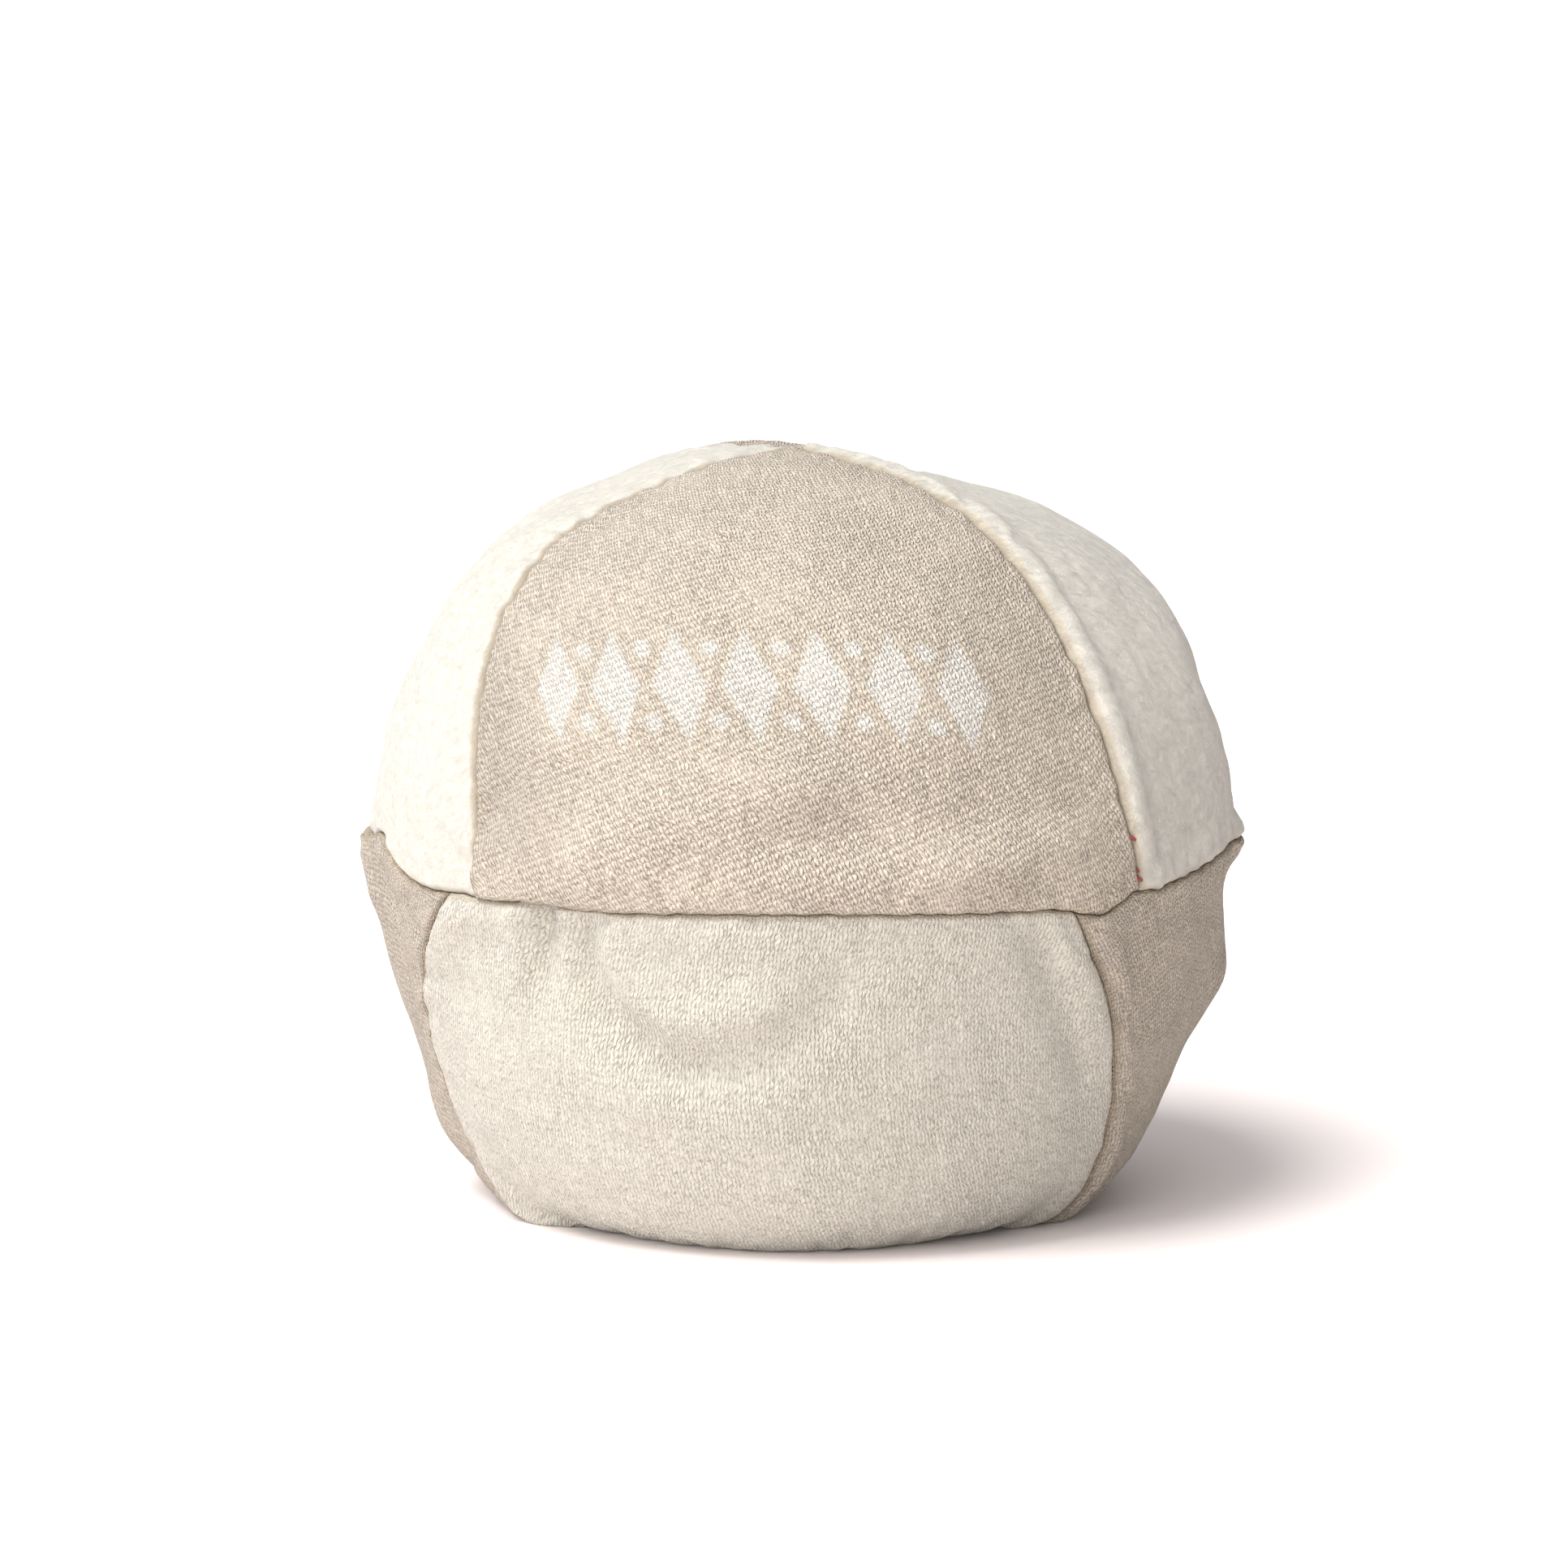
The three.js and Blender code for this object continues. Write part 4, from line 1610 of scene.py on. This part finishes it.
FOLDS_TOP: tuple[Fold, ...] = (
    Fold(((-44, 29.3), (-22, 30.1), (0, 30.1), (20, 29.9), (42, 29.5)), 1.0, 2.6, FRONT),
    Fold(((-27, 32.5), (-14, 34.5), (-2.5, 37.0)), 1.25, 3.0, FRONT, 2.0, 0.3),
    Fold(((17, 30.5), (28, 31.8), (39, 32.5)), 0.8, 2.0, FRONT, 1.5),
    Fold(((-3, 32.5), (8, 33.6)), -0.85, 2.6, FRONT, 1.5),
    Fold(((2, 57.5), (27, 54.0)), -0.4, 3.5, FRONT, 2.0),
    Fold(((-41, 36.2), (-20, 38.9), (2, 41.0)), -0.35, 2.4, FRONT, 3.0),
    Fold(((-44, 34.0),), -0.7, 3.0, FRONT, 1.0),
    Fold(((62, 45.3), (62, 35.3)), -0.7, 5.5, RIGHT, 3.0),
    Fold(((88, 57.2),), -1.8, 8.0),
    Fold(((135, 57.8),), -1.1, 9.0),
    Fold(((225, 58.6),), 0.4, 8.0),
    Fold(((90, 52.3),), -1.3, 7.0),
    Fold(((90, 37.4),), -1.8, 5.5),
    Fold(((84, 28.7),), 0.9, 1.6),
    Fold(((-90, 56.6),), -1.15, 8.0),
    Fold(((-88, 43.5), (-86, 37.3)), -2.8, 7.0),
    Fold(((0, 59.4),), -0.95, 22.0),
)

FOLDS_BOTTOM: tuple[Fold, ...] = (
    Fold(((-34.8, 27.6), (-35.6, 24.5), (-36.8, 20.0)), -2.1, 1.1, LOW_FRONT, 0.15, 0.85),
    Fold(((-39.5, 26.3), (-41.0, 20.8)), 0.6, 1.5, LOW_FRONT, 0.8, 0.5),
    Fold(((-31.6, 27.0), (-31.2, 24.0)), 0.5, 1.2, LOW_FRONT, 0.3),
    Fold(((-18.0, 24.5), (-6.0, 24.0)), 0.3, 4.0, LOW_FRONT, 1.5),
    Fold(
        (
            (-29.0, 25.7),
            (-28.5, 22.9),
            (-26.0, 19.9),
            (-22.0, 17.4),
            (-16.5, 16.2),
            (-10.5, 16.3),
            (-4.5, 17.3),
            (1.5, 19.2),
            (5.5, 22.3),
        ),
        -1.6,
        1.9,
        LOW_FRONT,
        0.4,
        0.5,
    ),
    Fold(
        ((-26.0, 24.5), (-22.5, 21.2), (-17.0, 19.3), (-11.0, 19.1), (-5.0, 20.4)),
        1.05,
        1.7,
        LOW_FRONT,
        0.8,
        0.4,
    ),
    Fold(((-25.0, 13.5), (-14.0, 12.0), (-4.0, 13.5)), 0.4, 3.4, LOW_FRONT, 1.5),
    Fold(((33.0, 24.2), (38.5, 19.2), (45.0, 14.0)), -0.85, 1.8, LOW_FRONT, 0.6),
    Fold(((0.0, 8.3),), 0.6, 9.0, LOW_FRONT, 3.0),
    Fold(((84.0, 28.7),), 0.9, 1.6),
    Fold(((86.0, 18.3),), 1.5, 4.4),
    Fold(((-90.0, 6.3),), 1.2, 4.5),
    Fold(((-84.0, 25.6),), 0.8, 3.0),
    Fold(((-78.0, 1.0), (-60.0, 0.5)), 0.9, 2.6),
    Fold(((70.0, 1.0),), 0.7, 2.6),
)

WELTS: dict[str, tuple[Welt, ...]] = {
    "top_right_panel": (Welt(Edge.LEFT, 0.6, 1.5, 1.3),),
    "bottom_right_panel": (Welt(Edge.LEFT, 0.6, 1.5, 1.1),),
    "bottom_front_panel": (Welt(Edge.LEFT, 0.3, 1.6, 1.3), Welt(Edge.RIGHT, 0.2, 1.6, 1.3)),
}


# ---------------------------------------------------------------- sewing


@dataclass(frozen=True)
class SeamLine:
    """Points along a sewn seam, with the way ahead and the way out at each."""

    points: Array
    ahead: Array
    out: Array

    @staticmethod
    def through(points: Array, out: Array) -> "SeamLine":
        """The line through a row of points.

        Args:
            points: the row of points, in millimetres.
            out: the way out of the ball at each of them.

        Returns:
            The line, with its ways square to each other.
        """
        ahead = unit(np.gradient(points, axis=0))
        side = unit(np.cross(out, ahead))
        return SeamLine(points, ahead, unit(np.cross(ahead, side)))

    def length(self) -> Array:
        """How far along the line each point is."""
        steps = np.linalg.norm(np.diff(self.points, axis=0), axis=1)
        return np.concatenate([[0], np.cumsum(steps)])

    def at(self, places: Array) -> "SeamLine":
        """Reads the line at places along its length.

        Args:
            places: how far along, in millimetres.

        Returns:
            A line with one point for each place.
        """
        length = self.length()
        points, ahead, out = (
            np.stack([np.interp(places, length, axis) for axis in part.T], axis=1)
            for part in (self.points, self.ahead, self.out)
        )
        return SeamLine(points, unit(ahead), unit(out))

    def frames(self, turn: Array) -> Array:
        """The ways of stitches that are turned from the line.

        Args:
            turn: how far each is turned, in radians.

        Returns:
            For each stitch, the ways that its X, Y and Z point, one to a row.
        """
        turn = turn[:, None]
        side = np.cross(self.out, self.ahead)
        along = self.ahead * np.cos(turn) + side * np.sin(turn)
        return np.stack([along, np.cross(self.out, along), self.out], axis=1)


@dataclass(frozen=True)
class StitchSize:
    """One stitch of thread, which bends down into the cloth at both ends, in millimetres.

    `end` is how thick it is at its ends, as a share, and `bend` how suddenly it turns down.
    """

    length: float = 1.75
    radius: float = 0.11
    drop: float = 0.28
    sides: int = 8
    steps: int = 5
    end: float = 0.55
    bend: int = 4

    def mould(self) -> Piece:
        """Models the stitch along X, out of a circle that is drawn out step by step.

        Returns:
            The stitch, in millimetres round the origin.
        """
        deselect()
        share = np.linspace(-1, 1, self.steps + 1)
        thick = np.array([self.end] + [1.0] * (self.steps - 1) + [self.end])
        start = (-self.length / 2, 0, -self.drop)
        bpy.ops.mesh.primitive_circle_add(
            vertices=self.sides,
            radius=self.radius * thick[0],
            fill_type="NGON",
            location=start,
            rotation=(0, math.pi / 2, 0),
        )
        piece = bpy.context.object
        with editing():
            for k in range(1, self.steps + 1):
                fall = -self.drop * (share[k] ** self.bend - share[k - 1] ** self.bend)
                move = (self.length / self.steps, 0, fall)
                bpy.ops.mesh.extrude_region_move(TRANSFORM_OT_translate={"value": move})
                grow = thick[k] / thick[k - 1]
                centre = (share[k] * self.length / 2, 0, -self.drop * share[k] ** self.bend)
                bpy.ops.transform.resize(value=(1, grow, grow), center_override=centre)
            bpy.ops.mesh.select_all(action="SELECT")
            bpy.ops.mesh.normals_make_consistent(inside=False)
        bpy.ops.object.transform_apply(location=True, rotation=True, scale=True)
        return piece


def copies(mould: Piece, name: str, places: Array, frames: Array, scales: Array) -> Piece:
    """Sets copies of a small shape at many places and joins them.

    Args:
        mould: the shape, in millimetres round the origin. It is used up.
        name: the joined piece's name.
        places: where each copy goes, in millimetres.
        frames: for each copy, the ways that its X, Y and Z point, one to a row.
        scales: the size of each copy.

    Returns:
        The joined piece.
    """
    shape = np.array([vertex.co for vertex in mould.data.vertices])
    points = np.einsum("vi,nij->nvj", shape, frames) * scales[:, None, None] + places[:, None]
    mesh = bpy.data.meshes.new(name)
    corners = [list(face.vertices) for face in mould.data.polygons]
    faces = [[v + n * len(shape) for v in face] for n in range(len(places)) for face in corners]
    mesh.from_pydata((points.reshape(-1, 3) * MM).tolist(), [], faces)
    mesh.shade_smooth()
    bpy.data.objects.remove(mould)
    return place_in_scene(name, mesh)


@dataclass
class Inset:
    """A piece that isn't cloth and stands for one CAD node."""

    node: str

    def build(self) -> Piece:
        """Makes the piece."""
        raise NotImplementedError

    def add(self, material: Material, slot: str) -> None:
        """Makes the piece and dresses it in the material."""
        finish_piece(self.build(), material, self.node)


@dataclass
class Sewing(Inset):
    """A run of small stitches at the bottom of a seam, slanted by turns to each side."""

    line: SeamLine
    size: StitchSize = field(default_factory=StitchSize)
    pitch: float = 2.1
    slant: float = 7.0

    def build(self) -> Piece:
        """Sets the stitches one after another along the seam.

        Returns:
            The stitches, as one piece.
        """
        total, end = float(self.line.length()[-1]), self.size.length / 2
        count = max(2, round((total - self.size.length) / self.pitch))
        line = self.line.at(np.linspace(end, total - end, count))
        turn = np.radians(self.slant * np.where(np.arange(count) % 2, 1, -1))
        return self._stitches(line.points, line.frames(turn))

    def _stitches(self, points: Array, frames: Array) -> Piece:
        """Sets a stitch at each point, turned to its frame."""
        name = f"{self.node}_stitches"
        return copies(self.size.mould(), name, points, frames, np.ones(len(points)))


@dataclass
class ClosingStitches(Sewing):
    """Slack whip stitches over the gap through which the ball was filled.

    `heights` are how far each stands out of the seam and `places` where it is, as a share of the
    gap. They cross the seam at the angle `across`, in degrees.
    """

    heights: tuple[float, ...] = (0.5, 0.46, 0.54, -0.2, -0.2, -0.2, -0.2)
    places: tuple[float, ...] = (0.01, 0.06, 0.23, 0.38, 0.54, 0.7, 0.86)
    across: float = 52.0

    def build(self) -> Piece:
        """Sets the stitches over the seam, some higher than others.

        Returns:
            The stitches, as one piece.
        """
        line = self.line.at(np.array(self.places) * float(self.line.length()[-1]))
        points = line.points + line.out * np.array(self.heights)[:, None]
        return self._stitches(points, line.frames(np.full(len(points), math.radians(self.across))))


@dataclass
class Knot(Inset):
    """The small overhand knot at the end of the closing thread."""

    place: Array
    out: Array
    loop: float = 0.32
    radius: float = 0.13
    steps: int = 36
    thickness: float = 1.1
    resolution: int = 2

    def build(self) -> Piece:
        """Winds the thread round in three crossing loops and makes it a mesh.

        Returns:
            The knot.
        """
        turn = np.linspace(0, 2 * math.pi, self.steps, endpoint=False)
        x = np.sin(turn) + 2 * np.sin(2 * turn)
        y = np.cos(turn) - 2 * np.cos(2 * turn)
        z = -self.thickness * np.sin(3 * turn)
        flat = np.stack([x, y, z], axis=1) * self.loop / 2
        side = unit(np.cross(self.out, [0.0, 0.0, 1.0]))
        ways = np.stack([side, np.cross(self.out, side), self.out])
        points = (flat @ ways + self.place) * MM
        curve = bpy.data.curves.new(f"{self.node}_loops", "CURVE")
        curve.dimensions = "3D"
        curve.bevel_depth = self.radius * MM
        curve.bevel_resolution = self.resolution
        spline = curve.splines.new("POLY")
        spline.points.add(self.steps - 1)
        spline.points.foreach_set("co", np.column_stack([points, np.ones(self.steps)]).ravel())
        spline.use_cyclic_u = True
        activate(place_in_scene(f"{self.node}_loops", curve))
        bpy.ops.object.convert(target="MESH")
        bpy.ops.object.shade_smooth()
        return bpy.context.object


# ---------------------------------------------------------------- the fill


@dataclass
class SeedFill(Inset):
    """The millet that fills the ball: a packed heap with its outer grains modelled one by one.

    The heap is `depth` inside the cover, and `groove_depth` within `groove_half` of the seams. A
    `grain` is a radius, `shape` how far it is from round and `spread` how its size varies.
    """

    top: Half
    bottom: Half
    depth: float = 3.4
    groove_depth: float = 6.0
    groove_half: float = 1.3
    columns: int = 160
    rows: int = 44
    grains: int = 3600
    grain: float = 0.95
    shape: tuple[float, float, float] = (1.12, 0.95, 0.9)
    spread: tuple[float, float] = (0.85, 1.08)

    def _half(self, half: Half) -> Array:
        """The heap inside one half of the cover.

        Args:
            half: the half.

        Returns:
            A grid of points, from the equator to the pole.
        """
        rise = np.linspace(0, half.rise_at_tip(), self.rows)[:, None]
        lon = np.linspace(0, 2 * math.pi, self.columns, endpoint=False)[None, :]
        lon, rise = np.broadcast_arrays(lon, rise)
        plain = half.point(lon, rise)
        away = np.linalg.norm(plain - half.point(lon, np.zeros_like(rise)), axis=-1)
        for seam in half.seams:
            turn = (lon - seam.longitude(rise) + math.pi) % (2 * math.pi) - math.pi
            away = np.minimum(away, np.abs(turn) * from_axis(plain))
        groove = 1 - smooth(self.groove_half, self.groove_half * 2, away)
        depth = self.depth + (self.groove_depth - self.depth) * groove
        middle = np.array([0, 0, half.size.equator])
        return plain + unit(middle - plain) * depth[..., None]

    def build(self) -> Piece:
        """Makes the heap and sets the grains on it.

        Returns:
            The heap and its grains, as one piece.
        """
        upper, lower = self._half(self.top), self._half(self.bottom)
        rings = np.concatenate([upper[::-1], lower[1:]])
        row = np.arange(rings.shape[0] - 1)[:, None] * self.columns
        now, after = row + np.arange(self.columns), row + np.roll(np.arange(self.columns), -1)
        quads = np.stack([now, now + self.columns, after + self.columns, after], axis=-1)
        heap = mesh_piece(f"{self.node}_heap", rings.reshape(-1, 3), quads.reshape(-1, 4))
        activate(heap)
        with editing():
            bpy.ops.mesh.select_all(action="DESELECT")
            bpy.ops.mesh.select_non_manifold()
            bpy.ops.mesh.fill_holes(sides=0)
            bpy.ops.mesh.select_all(action="SELECT")
            bpy.ops.mesh.normals_make_consistent(inside=False)
        seeds = self._grains(rings)
        activate(heap)
        seeds.select_set(True)
        bpy.ops.object.join()
        heap.name = f"{self.node}_millet"
        return heap

    def _grains(self, rings: Array) -> Piece:
        """Sets millet grains over the heap, each turned its own way.

        Args:
            rings: the heap's points.

        Returns:
            The grains, as one piece.
        """
        chance = np.random.default_rng(CHANCE + 1)
        tall = np.linalg.norm(rings[1:] - rings[:-1], axis=-1)
        wide = np.linalg.norm(np.roll(rings, -1, axis=1)[1:] - rings[1:], axis=-1)
        share = np.cumsum((tall * wide).ravel()) / (tall * wide).sum()
        draws = np.arange(self.grains) + chance.uniform(size=self.grains)
        picked = np.minimum(np.searchsorted(share, draws / self.grains), share.size - 1)
        row, column = np.divmod(picked, self.columns)
        s, t = chance.uniform(size=(2, self.grains, 1))
        after = (column + 1) % self.columns
        near = rings[row, column] * (1 - s) + rings[row, after] * s
        far = rings[row + 1, column] * (1 - s) + rings[row + 1, after] * s
        first = unit(chance.normal(size=(self.grains, 3)))
        second = unit(np.cross(first, chance.normal(size=(self.grains, 3))))
        frames = np.stack([first, second, np.cross(first, second)], axis=1)
        deselect()
        bpy.ops.mesh.primitive_ico_sphere_add(subdivisions=1, radius=self.grain)
        mould = bpy.context.object
        with editing():
            bpy.ops.transform.resize(value=self.shape)
        scales = chance.uniform(*self.spread, self.grains)
        return copies(mould, f"{self.node}_grains", near * (1 - t) + far * t, frames, scales)


@dataclass
class Cover:
    """The eight panels, sewn edge to edge."""

    size: BallSize = field(default_factory=BallSize)
    top_seams: tuple[Seam, ...] = (
        Seam(-45.5, -15.5, 0.66),
        Seam(49, -4, 0.4),
        Seam(137, 5, 0.5),
        Seam(224, 6, 0.5),
    )
    bottom_seams: tuple[Seam, ...] = (
        Seam(-51.5, -20, 0.26),
        Seam(37.5, 21, 0.4),
        Seam(129, 7, 0.35),
        Seam(216, -6, 0.35),
    )
    sides: tuple[str, ...] = ("front", "right", "back", "left")
    top_grain: tuple[float, ...] = (22, 4, -15, -8)
    bottom_grain: tuple[float, ...] = (2, -20, 5, 12)
    line_steps: int = 120
    panels: list[Panel] = field(default_factory=list)

    def plan(self) -> None:
        """Lays out the panels between their seams."""
        self.top = TopHalf(self.size, self.top_seams)
        self.bottom = BottomHalf(self.size, self.bottom_seams)
        plans = (
            ("top", self.top, self.top_grain, FOLDS_TOP),
            ("bottom", self.bottom, self.bottom_grain, FOLDS_BOTTOM),
        )
        for part, half, grains, folds in plans:
            first = half.seams[0]
            rights = (*half.seams[1:], replace(first, at=first.at + 360))
            for k, side in enumerate(self.sides):
                beige = (k % 2 == 0) == (part == "top")
                colourway = Colourway.BEIGE if beige else Colourway.CREAM
                name = f"{part}_{side}_panel"
                seams = (half.seams[k], rights[k])
                welts = WELTS.get(name, ())
                self.panels.append(Panel(name, half, *seams, colourway, grains[k], folds, welts))

    def seam_line(self, part: str, corner: int, low: float, high: float, depth: float) -> SeamLine:
        """A side seam of one half.

        Args:
            part: `top` or `bottom`.
            corner: which of the half's four seams.
            low: the rise at which the line starts.
            high: the rise at which it ends.
            depth: how deep in the seam it runs.

        Returns:
            The line, halfway between the two panels.
        """
        first = 0 if part == "top" else len(self.sides)
        one, other = self.panels[first + (corner - 1) % 4], self.panels[first + corner]
        rise = np.linspace(low, high, self.line_steps)
        points = one.edge_point(Edge.RIGHT, rise, depth) + other.edge_point(Edge.LEFT, rise, depth)
        return SeamLine.through(points / 2, other.half.outward(other.left.longitude(rise), rise))

    def equator_line(self, depth: float) -> SeamLine:
        """The seam round the middle.

        Args:
            depth: how deep in the seam it runs.

        Returns:
            The line, halfway between the halves.
        """
        lon = np.linspace(-math.pi, math.pi, self.line_steps * 4)
        points = np.zeros((len(lon), 3))
        for panel in self.panels:
            seams = (panel.left, panel.right)
            left, right = (float(seam.longitude(np.array(0.0))) for seam in seams)
            turn = (lon - left) % (2 * math.pi)
            inside = turn < right - left
            points[inside] += panel.edge_point(Edge.EQUATOR, turn[inside] + left, depth) / 2
        return SeamLine.through(points, self.top.outward(lon, np.zeros_like(lon)))

    def build(self, finishes: dict[str, Material]) -> None:
        """Settles the cloth, then makes and dresses every panel.

        Args:
            finishes: the material of each panel.
        """
        RelaxedCloth().settle(self.panels)
        for panel in self.panels:
            panel.dress(panel.build(), finishes[panel.name])


# ---------------------------------------------------------------- studio


@dataclass(frozen=True)
class Lamp:
    """A round light that looks at the ball.

    `way` is the direction to it from the ball, `distance` and `size` are in metres and `power` is
    in watts.
    """

    name: str
    way: tuple[float, float, float]
    distance: float
    size: float
    power: float
    colour: Colour


@dataclass
class Studio:
    """The white table, the soft lights and the camera.

    `sky` is how bright the room is at its left and its right side.
    """

    elevation: float = 9.0
    lens: float = 177.0
    field_width: float = 121.5
    aim: tuple[float, float, float] = (-1.2, 0.0, 32.25)
    floor_size: float = 9000.0
    key_way: tuple[float, float, float] = (-0.44, -0.4, 1.13)
    key_width: float = 33.0
    key_power: float = 3.2
    key_colour: Colour = (1.0, 0.985, 0.96)
    sky: tuple[float, float] = (0.969, 0.304)
    sky_reach: float = 0.9
    front: Lamp = Lamp("front", (-0.5, -1.0, 0.35), 1.3, 1.3, 14.0, (1.0, 0.99, 0.975))
    table: Colour = (0.93, 0.865, 0.86)
    table_drop: float = 0.02
    ball_middle: float = 0.03
    sensor: float = 36.0
    clip: tuple[float, float] = (0.01, 20.0)

    def build(self) -> None:
        """Sets up everything that isn't part of the ball."""
        for part in (self._world, self._floor, self._sun, self._light, self._camera):
            part()
        scene = bpy.context.scene
        scene.view_settings.view_transform = "Standard"
        scene.view_settings.look = "None"

    def _world(self) -> None:
        """A white room that is brighter on the left."""
        world = bpy.data.worlds.new("studio")
        world.use_nodes = True
        bpy.context.scene.world = world
        background = world.node_tree.nodes["Background"]
        background.inputs["Color"].default_value = (1, 1, 1, 1)
        wiring = Wiring(world.node_tree)
        seen = wiring.node("ShaderNodeLightPath").outputs["Is Camera Ray"]
        split = wiring.split(wiring.node("ShaderNodeTexCoord").outputs["Generated"])
        side = wiring.step(split.outputs["X"], -self.sky_reach, self.sky_reach)
        lit = wiring.blend(side, *self.sky)
        wiring.put(wiring.blend(seen, lit, 1.0), background.inputs["Strength"])

    def _floor(self) -> None:
        """A white table that runs out of sight."""
        deselect()
        place = (0, 0, -self.table_drop * MM)
        bpy.ops.mesh.primitive_plane_add(size=self.floor_size * MM, location=place)
        floor = bpy.context.object
        floor.name = "table"
        floor.data.materials.append(plain_material("table_white", self.table, 0.8)[0])
        floor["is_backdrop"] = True

    def _light(self) -> None:
        """The soft light from the front."""
        lamp = bpy.data.lights.new(self.front.name, "AREA")
        lamp.shape = "DISK"
        lamp.size = self.front.size
        lamp.energy = self.front.power
        lamp.color = self.front.colour
        piece = place_in_scene(self.front.name, lamp)
        back = Vector(self.front.way).normalized()
        piece.location = Vector((0, 0, self.ball_middle)) + back * self.front.distance
        piece.rotation_euler = back.to_track_quat("Z", "Y").to_euler()

    def _sun(self) -> None:
        """The key light, which is even over the whole table."""
        lamp = bpy.data.lights.new("key", "SUN")
        lamp.angle = math.radians(self.key_width)
        lamp.energy = self.key_power
        lamp.color = self.key_colour
        back = Vector(self.key_way).normalized()
        place_in_scene("key", lamp).rotation_euler = back.to_track_quat("Z", "Y").to_euler()

    def _camera(self) -> None:
        """Looks at the front from a little above, through a long lens."""
        data = bpy.data.cameras.new("camera")
        data.lens = self.lens
        data.sensor_width = self.sensor
        data.clip_start, data.clip_end = self.clip
        camera = place_in_scene("camera", data)
        tilt = math.radians(self.elevation)
        back = Vector((0, -math.cos(tilt), math.sin(tilt)))
        distance = self.field_width * self.lens / data.sensor_width
        camera.location = (Vector(self.aim) + back * distance) * MM
        camera.rotation_euler = back.to_track_quat("Z", "Y").to_euler()
        bpy.context.scene.camera = camera


# ---------------------------------------------------------------- the whole ball


SEAM_THREAD = ThreadFinish("seam_thread", (0.62, 0.5, 0.34), (0.36, 0.26, 0.15))
CLOSING_THREAD = ThreadFinish("closing_thread", (0.33, 0.035, 0.03), (0.12, 0.012, 0.012))
SEED = SeedFinish("seed", (0.72, 0.52, 0.24), (0.42, 0.26, 0.1))
# Same cloth as the printed beige, with yarn and shade about 0.88 times as light: painted shade for
# the back and lower side panels, which the light reaches less.
BEIGE = KnitFinish(
    "knit_beige",
    yarn=(0.485, 0.42, 0.343),
    shade=(0.2, 0.158, 0.109),
    nap=0.06,
    relief=0.26,
    wale=0.56,
    course=0.48,
    unevenness=0.16,
    patches=0.4,
    high=0.4,
)
BEIGE_PRINTED = replace(
    BEIGE,
    name="knit_beige_printed",
    # Lighter than the plain beige: painted light for the front panel, which faces the lamps.
    yarn=(0.55, 0.478, 0.391),
    shade=(0.225, 0.178, 0.123),
    printed=(0.6, 0.57, 0.52),
    print_centre=(-1.5, 17.4),
    grain=22.0,
    # Painted shade: two spots over the dimple hollow at the panel's left edge, one where its right
    # side turns from the light.
    painted_spot_shade=((-24.0, 7.0, 9.0, 0.2), (-25.0, 16.0, 8.0, 0.16), (22.0, 21.0, 14.0, 0.1)),
)
CREAM = KnitFinish(
    "knit_cream",
    yarn=(0.54, 0.512, 0.45),
    shade=(0.29, 0.262, 0.21),
    nap=0.25,
    relief=0.16,
    wale=0.6,
    course=0.52,
    unevenness=0.18,
    patches=0.45,
    pit=0.85,
)
FLEECE = KnitFinish(
    "knit_cream_fleece",
    yarn=(0.515, 0.49, 0.438),
    shade=(0.49, 0.466, 0.416),
    nap=0.95,
    relief=0.045,
    patches=0.1,
    fineness=8.0,
)


@dataclass(frozen=True)
class SewingPlan:
    """Where the threads run: how deep, and how far from the poles and the equator they stop."""

    depth: float = 0.64
    equator_depth: float = 0.85
    low: float = 0.035
    high: float = 0.9
    closing_seam: int = 1
    closing_low: float = 0.012
    closing_high: float = 0.3
    closing_stitch: StitchSize = StitchSize(length=1.3, radius=0.16, drop=0.5)
    corners: tuple[str, ...] = ("front_left", "front_right", "back_right", "back_left")


def sew(cover: Cover) -> None:
    """Sews the panels together, closes the gap and puts in the fill.

    Args:
        cover: the panels.
    """
    plan = SewingPlan()
    thread, red = SEAM_THREAD.build(), CLOSING_THREAD.build()
    for part in ("top", "bottom"):
        for corner, name in enumerate(plan.corners):
            low = plan.closing_high if part == "top" and corner == plan.closing_seam else plan.low
            line = cover.seam_line(part, corner, low, plan.high, plan.depth)
            Sewing(f"{part}_{name}_seam_thread", line).add(thread, SEAM_THREAD.name)
    middle = cover.equator_line(plan.equator_depth)
    Sewing("equator_seam_thread", middle).add(thread, SEAM_THREAD.name)
    gap = cover.seam_line("top", plan.closing_seam, plan.closing_low, plan.closing_high, plan.depth)
    ClosingStitches("closing_thread", gap, plan.closing_stitch).add(red, CLOSING_THREAD.name)
    Knot("closing_knot", gap.points[-1], gap.out[-1]).add(red, CLOSING_THREAD.name)
    SeedFill("seed_fill", cover.top, cover.bottom).add(SEED.build(), SEED.name)


def main() -> None:
    """Builds the ball and the studio, and reports each piece."""
    logging.basicConfig(level=logging.INFO, format="%(message)s")
    Studio().build()
    finishes = (BEIGE, BEIGE_PRINTED, CREAM, FLEECE)
    beige, printed, cream, fleece = (finish.build() for finish in finishes)
    plain = {Colourway.BEIGE: beige, Colourway.CREAM: cream}
    cover = Cover()
    cover.plan()
    finishes = {panel.name: plain[panel.colourway] for panel in cover.panels}
    finishes["top_front_panel"] = printed
    finishes["top_left_panel"] = fleece
    finishes["top_right_panel"] = fleece
    cover.build(finishes)
    sew(cover)


if __name__ == "__main__":
    main()
